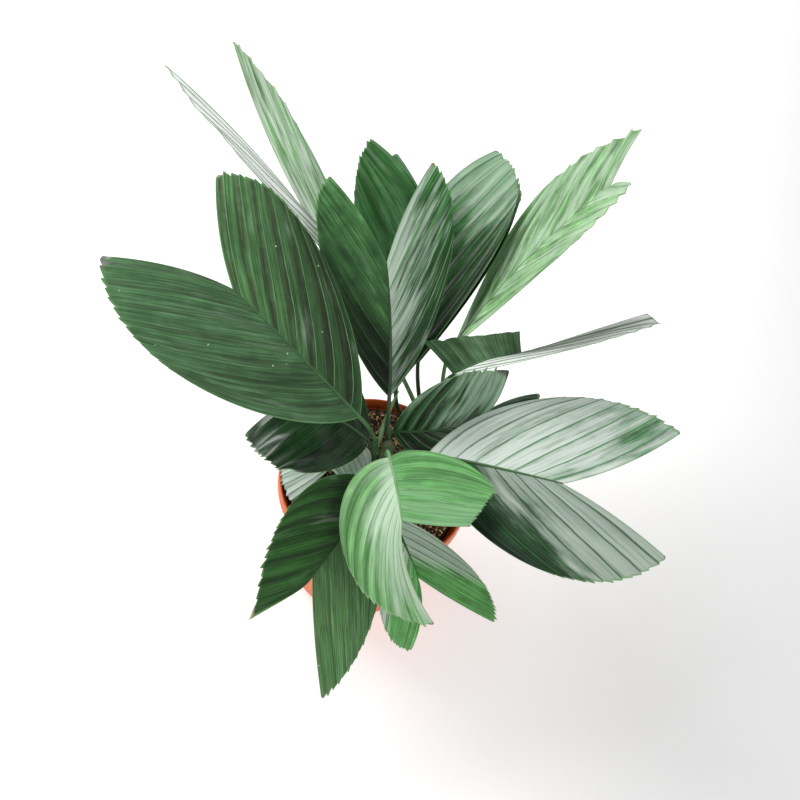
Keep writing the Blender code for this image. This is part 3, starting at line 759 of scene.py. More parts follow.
class Flow(Nodes):
    """A Geometry Nodes tree that makes a mesh from another and dresses it in its input Finish."""

    def __init__(self, name: str, inputs: dict) -> None:
        """Starts the tree.

        Args:
            name: the tree's name.
            inputs: the kind of each input, by its name.
        """
        tree = bpy.data.node_groups.new(name, "GeometryNodeTree")
        tree.is_modifier = True
        super().__init__(tree)
        face = tree.interface
        face.new_socket("Geometry", in_out="INPUT", socket_type="NodeSocketGeometry")
        self.inputs = {
            label: face.new_socket(label, in_out="INPUT", socket_type="NodeSocket" + kind).identifier
            for label, kind in (inputs | {"Finish": "Material"}).items()
        }
        face.new_socket("Geometry", in_out="OUTPUT", socket_type="NodeSocketGeometry")
        self.given = self.add("NodeGroupInput").outputs

    def close(self, geometry: bpy.types.NodeSocket) -> None:
        """Dresses the geometry and gives it out."""
        done = self.add("GeometryNodeSetMaterial", {"Geometry": geometry, "Material": self.given["Finish"]})
        self.add("NodeGroupOutput", {"Geometry": done.outputs[0]})

    def run(self, obj: bpy.types.Object, name: str, values: dict) -> bpy.types.Mesh:
        """Runs the tree on an object, which is used up.

        Args:
            obj: the object.
            name: the new mesh's name.
            values: what each input is given, by its name.

        Returns:
            The mesh that the tree makes.
        """
        modifier = obj.modifiers.new(name, "NODES")
        modifier.node_group = self.tree
        for label, value in values.items():
            modifier[self.inputs[label]] = value
        return plain_mesh(obj, name)


class RodTree(Flow):
    """Geometry Nodes that run a round, tapering rod along each line of a mesh."""

    def __init__(self) -> None:
        """Builds the tree with the inputs Sides and Finish."""
        super().__init__("Rods_along_lines", {"Sides": "Int"})
        lines = self.add("GeometryNodeMeshToCurve", {"Mesh": self.given["Geometry"]}).outputs[0]
        named = self.add("GeometryNodeInputNamedAttribute", {"Name": "rod_radius"}, data_type="FLOAT")
        radius = named.outputs["Attribute"]
        sized = self.add("GeometryNodeSetCurveRadius", {"Curve": lines, "Radius": radius})
        round_inputs = {"Resolution": self.given["Sides"], "Radius": 1.0}
        ring = self.add("GeometryNodeCurvePrimitiveCircle", round_inputs)
        rods = self.add(
            "GeometryNodeCurveToMesh",
            {"Curve": sized.outputs[0], "Profile Curve": ring.outputs[0], "Fill Caps": True},
        )
        if "Scale" in rods.inputs:
            self.feed(rods, {"Scale": radius})
        real = self.add("GeometryNodeRealizeInstances", {"Geometry": rods.outputs[0]})
        smooth = self.add("GeometryNodeSetShadeSmooth", {"Geometry": real.outputs[0], "Shade Smooth": True})
        self.close(smooth.outputs[0])

    def build(self, name: str, lines: list, radii: list, sides: int, finish: Stem) -> bpy.types.Mesh:
        """Runs rods along lines.

        Args:
            name: the mesh's name.
            lines: arrays of points, in millimetres.
            radii: one array of radii for each line, in millimetres.
            sides: the number of sides of a rod.
            finish: what the rods wear.

        Returns:
            One mesh of all the rods.
        """
        points = np.vstack(lines) * MM
        edges, start = [], 0
        for line in lines:
            edges += [(start + i, start + i + 1) for i in range(len(line) - 1)]
            start += len(line)
        mesh = bpy.data.meshes.new(name + "_lines")
        mesh.from_pydata(points.tolist(), edges, [])
        mesh.attributes.new("rod_radius", "FLOAT", "POINT").data.foreach_set(
            "value", (np.concatenate(radii) * MM).astype(np.float32)
        )
        holder = add_object(name + "_lines", mesh)
        made = self.run(holder, name, {"Sides": sides, "Finish": finish.value.material()})
        if "rod_radius" in made.attributes:
            made.attributes.remove(made.attributes["rod_radius"])
        return made


# Fronds


@dataclass(frozen=True)
class Cane:
    """A short upright stem: its node, its place on the mix and the height of its top."""

    name: str
    x: float
    y: float
    top: float


@dataclass(frozen=True)
class Lobe:
    """Half of a blade: the sizes of its outline, its finish, the waves along its toothed end, the
    inner corner of a lobe that is cut off, where the toothed end starts, how ragged the cut is, what
    the underside and the ribs wear, how deep the pleats are and how far a tail is drawn out."""

    length: float
    splay: float
    droop: float
    width: float
    tilt: float
    arch: float
    full: float
    near: float
    inner: float
    finish: Leaf = Leaf.DARK
    wave: float = 0.0
    waves: float = 3.0
    corner: tuple = ()
    toothed: float = 0.55
    ragged: float = 0.0
    under: Leaf = Leaf.UNDER
    rib: Stem = Stem.GREEN
    pleat: float = 1.0
    tail: float = 0.0


@dataclass(frozen=True)
class Frond:
    """A leaf: its node and slot, the sizes of its stalk and midrib, and its two half-blades."""

    name: str
    cane: Cane
    root: tuple
    base: tuple
    midrib: tuple
    roll: float
    left: Lobe
    right: Lobe
    stalk: Stem = Stem.GREEN
    slot: str = "dark_leaf"
    sag: float = 6.0

    GAP = 0.3
    CANE_RADIUS = 4.0
    STALK_RADIUS = 1.5
    NECK_RADIUS = 1.2
    TIP_RADIUS = 0.45
    RIB_RADIUS = 0.15
    START_SLOPE = 70.0
    HANDLE_SHARE = 0.36
    NEAR_SPREAD = 1.10
    FAR_SPREAD = 1.45
    FAR_SPREAD_FULL = 0.35
    FAR_HANDLE = 0.72
    FAR_HANDLE_FULL = 0.30
    EDGE_RISE = 0.6
    PLEATS = 14
    PER_PLEAT = 8
    ALONG = 40
    PLEAT_DEPTH = 0.16
    TOOTH = 2.9
    UNEVEN = 0.45
    THICKNESS = 0.45
    PATH_STEPS = 24
    STALK_SIDES = 12
    RIB_SIDES = 5
    TOOTH_BASE = 0.35
    CUT_START = 20
    TAIL_START = 0.955
    SHARP_ANGLE = 50.0
    # The maps' units: centimetres along the ribs, and the right half this many ribs away.
    RIB_MAP_UNIT = 10
    RIGHT_SHIFT = 20

    def axes(self) -> tuple:
        """Returns the forward, right and upper directions of the blade."""
        forward = heading(*self.midrib[:2])
        level = unit(np.cross(forward, (0.0, 0.0, 1.0)))
        above = np.cross(level, forward)
        roll = math.radians(self.roll)
        side = math.cos(roll) * level + math.sin(roll) * above
        return forward, side, -math.sin(roll) * level + math.cos(roll) * above

    def stalk_curves(self) -> tuple:
        """Returns the control points of the stalk and of the midrib."""
        height, azimuth = self.root
        reach = self.CANE_RADIUS + self.GAP + self.STALK_RADIUS
        root = np.array([self.cane.x, self.cane.y, height]) + reach * heading(azimuth, 0.0)
        base = np.array(self.base)
        forward, _, up = self.axes()
        notch = base + self.midrib[2] * forward
        middle = (base + notch) / 2 + 2 * self.sag * up
        handle = self.HANDLE_SHARE * np.linalg.norm(base - root)
        stalk = (
            root,
            root + handle * heading(azimuth, self.START_SLOPE),
            base - handle * unit(middle - base),
            base,
        )
        return stalk, (base, middle, notch)

    def direction(self, hand: int, splay: float, droop: float) -> np.ndarray:
        """Returns the direction at an angle away from the midrib and an angle down."""
        forward, side, up = self.axes()
        splay, droop = math.radians(splay), math.radians(droop)
        level = math.cos(splay) * forward + hand * math.sin(splay) * side
        return math.cos(droop) * level - math.sin(droop) * up

    def lobe_curves(self, lobe: Lobe, hand: int) -> tuple:
        """Gives the outline of a half-blade.

        Args:
            lobe: the half-blade.
            hand: -1 for the left one, 1 for the right one.

        Returns:
            The control points of its outer margin and of its inner edge.
        """
        side = self.axes()[1]
        _, (base, _, notch) = self.stalk_curves()
        chord = self.direction(hand, lobe.splay, lobe.droop)
        tilt = math.radians(lobe.tilt)
        out = unit(hand * side - (hand * side @ chord) * chord)
        above = hand * np.cross(out, chord)
        lifted = math.cos(tilt) * out + math.sin(tilt) * above
        tip = base + lobe.length * chord
        rise = lobe.arch * 4 / 3 * above
        far = self.FAR_HANDLE + self.FAR_HANDLE_FULL * lobe.full
        spread = (self.FAR_SPREAD + self.FAR_SPREAD_FULL * lobe.full) * lobe.width
        margin = (
            base,
            base + lobe.near * lobe.length * chord + self.NEAR_SPREAD * lobe.width * lifted + rise,
            base + far * lobe.length * chord + spread * lifted + rise,
            tip,
        )
        corner = base + lobe.corner[0] * self.direction(hand, *lobe.corner[1:3]) if lobe.corner else tip
        edge = corner - notch
        bulge = self.EDGE_RISE * rise - lobe.inner * np.linalg.norm(edge) * out
        return margin, (notch, notch + edge / 3 + bulge, notch + edge * 2 / 3 + bulge, corner)

    def toothed_end(self, lobe: Lobe, margin: tuple, corner: np.ndarray, u: np.ndarray) -> tuple:
        """Gives a lobe's toothed end.

        Args:
            lobe: the half-blade.
            margin: the control points of its outer margin.
            corner: its inner corner.
            u: values from the outermost rib, 0, to the inner edge, 1.

        Returns:
            The points, and the share of each that is past the tip.
        """
        share = lobe.corner[3] if lobe.corner else 1.0
        before = np.clip(u / max(share, 1e-6), 0, 1)
        after = np.clip((u - share) / max(1 - share, 1e-6), 0, 1)[:, None]
        along = bezier(margin, lobe.toothed + (1 - lobe.toothed) * before)
        return along + after * (corner - margin[-1]), after[:, 0]

    def half_blade(self, lobe: Lobe, hand: int) -> tuple[np.ndarray, np.ndarray]:
        """Shapes a half-blade with its pleats, waves and teeth.

        Args:
            lobe: the half-blade.
            hand: -1 for the left one, 1 for the right one.

        Returns:
            Its points, across the ribs and then along them, and the normals.
        """
        margin, edge = self.lobe_curves(lobe, hand)
        _, midrib = self.stalk_curves()
        count = self.PLEATS * self.PER_PLEAT
        u, v = np.linspace(0, 1, count + 1), np.linspace(0, 1, self.ALONG + 1)
        near = bezier(midrib, u)
        far, past = self.toothed_end(lobe, margin, edge[-1], u)
        low, high = bezier(margin, lobe.toothed * v), bezier(edge, v)
        across, along = u[:, None, None], v[None, :, None]
        grid = (1 - along) * near[:, None] + along * far[:, None]
        grid = grid + (1 - across) ** 2 * (low[None] - (1 - along) * near[0] - along * far[0])
        grid = grid + across**2 * (high[None] - (1 - along) * near[-1] - along * far[-1])
        du, dv = np.gradient(grid, axis=0), np.gradient(grid, axis=1)
        normal = hand * np.cross(dv, du)
        size = np.linalg.norm(normal, axis=2, keepdims=True)
        normal = normal / np.maximum(size, 1e-9)
        spacing = self.PER_PLEAT * size / np.maximum(np.linalg.norm(dv, axis=2, keepdims=True), 1e-9)
        pleat = u * self.PLEATS
        crest = 1 - 2 * np.abs(np.sin(math.pi / 2 * (pleat - 1)))
        crest = crest * np.clip(np.minimum(pleat, self.PLEATS - pleat), 0, 1)
        fade = np.clip(along * 6, 0, 1)
        shaped = grid + lobe.pleat * self.PLEAT_DEPTH * crest[:, None, None] * spacing * normal * fade
        draw = np.random.default_rng(hash_name(self.name) + hand)
        bump = sum(
            np.sin(a * math.pi * across + b * math.pi * along + c)
            for a, b, c in zip(draw.uniform(1, 5, 6), draw.uniform(-4, 4, 6), draw.uniform(0, 6, 6))
        )
        inside = np.sin(math.pi * np.clip(across, 0, 1)) * np.clip(along * 3, 0, 1)
        shaped = shaped + self.UNEVEN * 0.5 * bump * inside * normal
        if lobe.wave:
            ripple = np.sin(2 * math.pi * lobe.waves * u + 1.3 * hand)[:, None, None]
            shaped = shaped + lobe.wave * ripple * along**2 * np.sin(math.pi * across) * normal
        sizes = draw.uniform(0.4, 1.0, self.PLEATS + 1)
        tooth = self.TOOTH * (pleat % 1.0) * sizes[pleat.astype(int)]
        tooth = tooth * np.clip(pleat * 2, 0, 1) * np.clip((self.PLEATS - pleat) * 3, 0, 1)
        frayed = draw.uniform(-1.0, 0.6, count + 1) * lobe.ragged
        cut = np.clip(past * self.CUT_START, 0, 1)
        tooth = tooth * (1 - cut) + frayed * cut * (u < 1)
        ends = unit_rows(grid[:, -1] - grid[:, -2] + 0.1 * unit_rows(np.gradient(grid[:, -1], axis=0)))
        shaped[:, -1] += (tooth - self.TOOTH_BASE)[:, None] * ends
        if lobe.tail:
            drawn = np.clip((u - self.TAIL_START) / (1 - self.TAIL_START), 0, 1)[:, None, None] ** 2
            pull = unit(margin[-1] - margin[0] + 0.6 * (margin[-1] - margin[-2]))
            shaped = shaped + lobe.tail * drawn * along**4 * pull
        return shaped, normal

    def blade(self, halves: list) -> bpy.types.Mesh:
        """Builds both half-blades as one thick skin.

        Args:
            halves: the points of the left and of the right half-blade.

        Returns:
            A mesh with four materials: the two upper sides and the two undersides.
        """
        work = bmesh.new()
        ribs, spread = work.loops.layers.uv.new("Ribs"), work.loops.layers.uv.new("Lobe")
        shared = None
        for index, points in enumerate(halves):
            steps = np.linalg.norm(np.diff(points, axis=1), axis=2)
            reach = np.hstack([np.zeros((len(points), 1)), np.cumsum(steps, axis=1)]) / self.RIB_MAP_UNIT
            columns, rows = points.shape[0] - 1, points.shape[1] - 1
            verts = [[None] * (rows + 1) for _ in range(columns + 1)]
            for i in range(columns + 1):
                for j in range(rows + 1):
                    if j == 0 and shared:
                        verts[i][0] = shared[i]
                    else:
                        verts[i][j] = work.verts.new(points[i, j] * MM)
            shared = shared or [row[0] for row in verts]
            for i in range(columns):
                for j in range(rows):
                    ring = [(i, j), (i + 1, j), (i + 1, j + 1), (i, j + 1)]
                    ring = ring[::-1] if index else ring
                    face = work.faces.new([verts[a][b] for a, b in ring])
                    face.material_index = index
                    face.smooth = True
                    for loop, (a, b) in zip(face.loops, ring):
                        loop[ribs].uv = (a / self.PER_PLEAT + self.RIGHT_SHIFT * index, reach[a, b])
                        loop[spread].uv = (a / columns, b / rows)
        mesh = bpy.data.meshes.new(self.name)
        work.to_mesh(mesh)
        work.free()
        uppers, unders = (self.left.finish, self.right.finish), (self.left.under, self.right.under)
        wear(mesh, *(finish.material() for finish in uppers + unders))
        sheet = add_object(self.name + "_sheet", mesh)
        thick = sheet.modifiers.new("Thickness", "SOLIDIFY")
        thick.thickness = self.THICKNESS * MM
        thick.offset = 0.0
        thick.material_offset = len(uppers)
        made = plain_mesh(sheet, self.name)
        soften(made, self.SHARP_ANGLE)
        return made

    def rib_lines(self, points: np.ndarray, normal: np.ndarray) -> tuple[list, list]:
        """Gives the raised ribs of a half-blade.

        Args:
            points: the half-blade's points.
            normal: its normals.

        Returns:
            The ribs' lines and the radii along each.
        """
        lift = 0.5 * self.THICKNESS * np.clip(np.linspace(-0.2, 8, self.ALONG + 1), 0, 1)[:, None]
        columns = range(self.PER_PLEAT, self.PLEATS * self.PER_PLEAT, 2 * self.PER_PLEAT)
        lines = [(points[column] + lift * normal[column])[:-1] for column in columns]
        return lines, [np.linspace(self.RIB_RADIUS, 0.35 * self.RIB_RADIUS, self.ALONG) for _ in lines]

    def build(self, rods: RodTree) -> None:
        """Builds the frond and sets it on its cane.

        Args:
            rods: the tree that makes its stalk, midrib and ribs.
        """
        stalk, midrib = self.stalk_curves()
        steps = np.linspace(0, 1, self.PATH_STEPS + 1)
        path = np.vstack([bezier(stalk, steps), bezier(midrib, steps)[1:]])
        ends = (0, self.PATH_STEPS, 2 * self.PATH_STEPS)
        radii = np.interp(np.arange(len(path)), ends, (self.STALK_RADIUS, self.NECK_RADIUS, self.TIP_RADIUS))
        halves = [self.half_blade(self.left, -1), self.half_blade(self.right, 1)]
        meshes = [
            self.blade([points for points, _ in halves]),
            rods.build(self.name + "_stalk", [path], [radii], self.STALK_SIDES, self.stalk),
        ]
        for side, lobe, half in zip(("left", "right"), (self.left, self.right), halves):
            name = f"{self.name}_ribs_{side}"
            meshes.append(rods.build(name, *self.rib_lines(*half), self.RIB_SIDES, lobe.rib))
        place(join(self.name + "_leaf", meshes), self.slot, self.name)


def hash_name(name: str) -> int:
    """Returns a fixed number for a name."""
    return sum((i + 1) * ord(letter) for i, letter in enumerate(name))


CANE_LEFT = Cane("cane_left", 3.0, 1.0, 150.0)
CANE_RIGHT = Cane("cane_right", 26.0, 26.0, 138.0)

FRONDS = (
    Frond("frond_left", CANE_LEFT, (140, -155), (-18.0, -8.5, 185.0), (164, 32, 107), 6,
          Lobe(177, 12, 4, 38, -2, 9, 0.45, 0.2, 0.045, Leaf.DARK_LEFT),
          Lobe(162, 18.5, 6, 30, -2, 5, 0.75, 0.2, 0.09, Leaf.DARK, rib=Stem.LIGHT), sag=1.0),
    Frond("frond_middle", CANE_LEFT, (146, 114), (-4.5, 18.0, 173.0), (110, 36, 80), -4,
          Lobe(137, 12, 9, 20, 6, 7, 0.55, 0.2, 0.04, Leaf.MOTTLED),
          Lobe(146, 14, 8, 21, -5, 6, 0.45, 0.25, 0.06, Leaf.SHEEN_PAINTED, rib=Stem.PALE), stalk=Stem.DARK),
    Frond("frond_back", CANE_RIGHT, (112, 137), (-2.0, 33.5, 161.0), (95, 18, 118), 10,
          Lobe(163, 15, -2, 15, -2, 10, 0.45, 0.2, 0.08, Leaf.GLOSSY, 1.2, 1.0),
          Lobe(169, 12, 2, 29, 13, 12, 0.45, 0.5, 0.06, Leaf.GLOSSY_LIGHT, 2.0, 1.5), stalk=Stem.DARK),
    Frond("frond_back_lower", CANE_RIGHT, (125, 136), (7.0, 57.5, 157.0), (96, 11, 92), 21,
          Lobe(145, 12, -6, 26, 0, 8, 0.5, 0.2, 0.06, Leaf.GLOSSY),
          Lobe(148, 12, 1, 33, 11, 14, 0.5, 0.4, 0.06, Leaf.GLOSSY_LIGHT, 2.0, 1.5), stalk=Stem.DARK),
    Frond("frond_right_young", CANE_RIGHT, (132, 70), (25.5, 70.5, 167.5), (50, 42, 136), 35,
          Lobe(174, 8, 1, 35, 1, 4, -0.1, 0.45, 0.05, Leaf.YOUNG_PALE, rib=Stem.LIGHT, pleat=1.7),
          Lobe(151, 10, -3.5, 33, 26, 3, 0.55, 0.25, 0.04, Leaf.YOUNG_PALE, rib=Stem.LIGHT, pleat=1.5),
          stalk=Stem.LIGHT, slot="young_leaf"),
    Frond("frond_right_folded", CANE_RIGHT, (133, 116), (29.5, 46.5, 172.0), (24, 22, 43), -5,
          Lobe(29.5, 124, -43, 3, 0, 1, 0.5, 0.3, -0.1, Leaf.FOLDED, 1.0, 2.5, (48.2, 14, -9.6, 0.0),
               toothed=1.0, ragged=0.8),
          Lobe(128, 0.5, 4.5, 29, 58, 2, 0.1, 0.1, 0.0, Leaf.STRIP, corner=(123, -3, 4, 0.86),
               under=Leaf.STRIP)),
    Frond("frond_right_inner", CANE_LEFT, (136, 92), (2.5, 14.5, 143.5), (15, 14, 47), -55,
          Lobe(81.5, 24.5, -2.5, 29, 37, 9, 0.0, 0.33, 0.145, Leaf.INNER, rib=Stem.PALE, pleat=1.6),
          Lobe(97, -1, 20, 39, -2, -3, 0.4, 0.1, 0.08, Leaf.SHADED, rib=Stem.PALE), sag=4.5),
    Frond("frond_right", CANE_LEFT, (142, -14), (26.5, -4.5, 158.5), (-9, 19, 85), -14,
          Lobe(152, 24, 14, 30, -7, 6, 0, 0.2, 0.08, Leaf.PALE),
          Lobe(153, 8, 10, 38, 0, 5, 0.4, 0.2, 0.025, Leaf.PALE_DARK), sag=2.5),
    Frond("frond_front_young", CANE_LEFT, (146, -90), (5.0, -16.0, 162.5), (-71, 15, 51), -40,
          Lobe(70, 49, 22, 13, -20, 5, 0.2, 0.15, 0.04, Leaf.YOUNG, corner=(73, 27, 15, 0.36), toothed=0.85,
               ragged=1.2, rib=Stem.LIGHT),
          Lobe(102.5, 10.5, 28.5, 28, 12, 30, 0.5, 0, 0.02, Leaf.BROAD, rib=Stem.LIGHT),
          stalk=Stem.LIGHT, slot="young_leaf", sag=-1.5),
    Frond("frond_front_left", CANE_LEFT, (128, -98), (0.0, -19.5, 139.5), (-105, 3, 79), 29,
          Lobe(134, 24, 10, 20, -7, 6, 0.1, 0.2, 0.06, Leaf.MID),
          Lobe(118, 8, 2, 35, 12, 11, -0.3, 0.3, 0.08, Leaf.OLIVE, tail=8.0)),
    Frond("frond_front_right", CANE_LEFT, (122, -74), (12.5, -30.0, 122.0), (-48, -16, 43), -7,
          Lobe(92, 17, -9, 12, -4, 6, 0.45, 0.3, 0.06, Leaf.FRESH),
          Lobe(84, 13, 13, 17, 1, 11, 0.7, 0.15, 0.08, Leaf.FRESH)),
    Frond("frond_left_lower", CANE_LEFT, (128, 157), (-9.5, 6.0, 137.0), (176, 18, 54), -3,
          Lobe(76, 20, 12, 32, 7, 9, 0.4, 0.2, 0.02, Leaf.UNDULATE, 2.2, 2.5, pleat=0.2),
          Lobe(108, 18, 10, 34, 0, 8, 0.5, 0.2, 0.06, Leaf.UNDULATE, 2.0, 2.2, pleat=0.2)),
    Frond("frond_left_small", CANE_LEFT, (114, 140), (-12.5, 14.0, 118.0), (238, 10, 31), -17,
          Lobe(40, 23, -5, 11, 0, 3, 0.5, 0.2, 0.06, Leaf.SMALL),
          Lobe(57, 12, 19, 27, 10, 2, 0.45, 0.25, 0.06, Leaf.SMALL)),
    Frond("frond_back_left", CANE_RIGHT, (134, 161), (-32.0, 82.5, 172.0), (150, 26, 57), -23,
          Lobe(188, 8, -1, 28, 20, 9, 0.3, 0.2, 0.0, Leaf.STRIP, under=Leaf.STRIP),
          Lobe(182, 11.5, -2.5, 30, -14, 0, 0.3, 0.2, 0.065, Leaf.BACK, rib=Stem.PALE),
          stalk=Stem.LIGHT, slot="young_leaf"),
)


# Pot, growing mix and canes


@dataclass
class Pot:
    """The nursery pot: a thin tapered wall, a band at the rim and holes in the floor."""

    height: float = 105.0
    rim: float = 60.0
    band: float = 11.0
    step: float = 2.2
    base: float = 43.0
    wall: float = 1.4
    floor: float = 2.0
    lip: float = 0.7
    foot: float = 1.5
    holes: int = 8
    hole_radius: float = 3.5
    hole_circle: float = 30.0
    drill_reach: float = 6.0
    segments: int = 160
    finish: PlasticFinish = field(default_factory=PlasticFinish)

    def wall_radius(self, height: float) -> float:
        """Returns the wall's outer radius below the band."""
        return self.base + (self.rim - self.step - self.base) * height / self.height

    def rounded(self, middle: tuple, radius: float, start: float, end: float) -> list:
        """Returns points of an arc between two angles, in degrees."""
        angles = np.radians(np.linspace(start, end, 6))
        return [(middle[0] + radius * math.cos(a), middle[1] + radius * math.sin(a)) for a in angles]

    def outline(self) -> list:
        """Returns the pot's outline, from the middle of its floor's top to that of its underside."""
        band, top = self.height - self.band, self.height - self.lip
        inner, outer = self.rim - self.wall + self.lip, self.rim - self.lip
        return [
            (0.0, self.floor),
            (self.wall_radius(self.floor) - self.wall, self.floor),
            (self.wall_radius(band) - self.wall, band),
            (self.rim - self.wall, band + 1.5),
            *self.rounded((inner, top), self.lip, 180, 90),
            *self.rounded((outer, top), self.lip, 90, 0)[1:],
            (self.rim, band + 0.5),
            (self.rim - 0.5, band),
            (self.wall_radius(band) + 0.3, band),
            (self.wall_radius(band), band - 0.3),
            (self.wall_radius(self.foot), self.foot),
            (self.wall_radius(0.0) - 0.6, 0.35),
            (self.base - self.foot, 0.0),
            (0.0, 0.0),
        ]

    def build(self) -> None:
        """Turns the pot, drills its floor and dresses it."""
        pot = add_object("pot_blank", lathe("pot_shell", self.outline(), self.segments))
        reach, radius = self.drill_reach, self.hole_radius
        plug = [(0.0, reach), (radius, reach), (radius, -reach), (0.0, -reach)]
        spots = circle(self.hole_circle, self.holes)
        cutter = join("drains", [lathe(f"drain_{i}", plug, 24, spot) for i, spot in enumerate(spots)])
        bore = pot.modifiers.new("Drain holes", "BOOLEAN")
        bore.operation = "DIFFERENCE"
        bore.solver = "EXACT"
        bore.object = cutter
        mesh = plain_mesh(pot, "pot_shell")
        bpy.data.objects.remove(cutter)
        wear(mesh, self.finish.material())
        soften(mesh, 35.0)
        place(add_object("pot_shell", mesh), "pot_plastic", "pot")


class ChipTree(Flow):
    """Geometry Nodes that strew chips over a surface, each at its own size, turn and tone."""

    TILT = 0.6
    SIZES = (0.6, 1.5)
    TONE_SEED = 3

    def __init__(self, shapes: bpy.types.Collection) -> None:
        """Builds the tree with the inputs Density, Seed and Finish.

        Args:
            shapes: the chips to pick from.
        """
        super().__init__("Chips_over_bed", {"Density": "Float", "Seed": "Int"})
        strewn = self.add(
            "GeometryNodeDistributePointsOnFaces",
            {"Mesh": self.given["Geometry"], "Density": self.given["Density"], "Seed": self.given["Seed"]},
        )
        picked = self.add(
            "GeometryNodeCollectionInfo",
            {"Collection": shapes, "Separate Children": True, "Reset Children": True},
        )
        turn = self.add(
            "FunctionNodeRandomValue",
            {0: (-self.TILT, -self.TILT, 0.0), 1: (self.TILT, self.TILT, 2 * math.pi)},
            data_type="FLOAT_VECTOR",
        )
        size = self.add("FunctionNodeRandomValue", dict(zip((2, 3), self.SIZES)), data_type="FLOAT")
        chips = self.add(
            "GeometryNodeInstanceOnPoints",
            {"Points": strewn.outputs["Points"], "Instance": picked.outputs[0], "Pick Instance": True,
             "Rotation": turn.outputs[0], "Scale": size.outputs[1]},
        )
        tone = self.add("FunctionNodeRandomValue", {8: self.TONE_SEED}, data_type="FLOAT")
        named = self.add(
            "GeometryNodeStoreNamedAttribute",
            {"Geometry": chips.outputs[0], "Name": "chip_tone", "Value": tone.outputs[1]},
            data_type="FLOAT", domain="INSTANCE",
        )
        self.close(self.add("GeometryNodeRealizeInstances", {"Geometry": named.outputs[0]}).outputs[0])


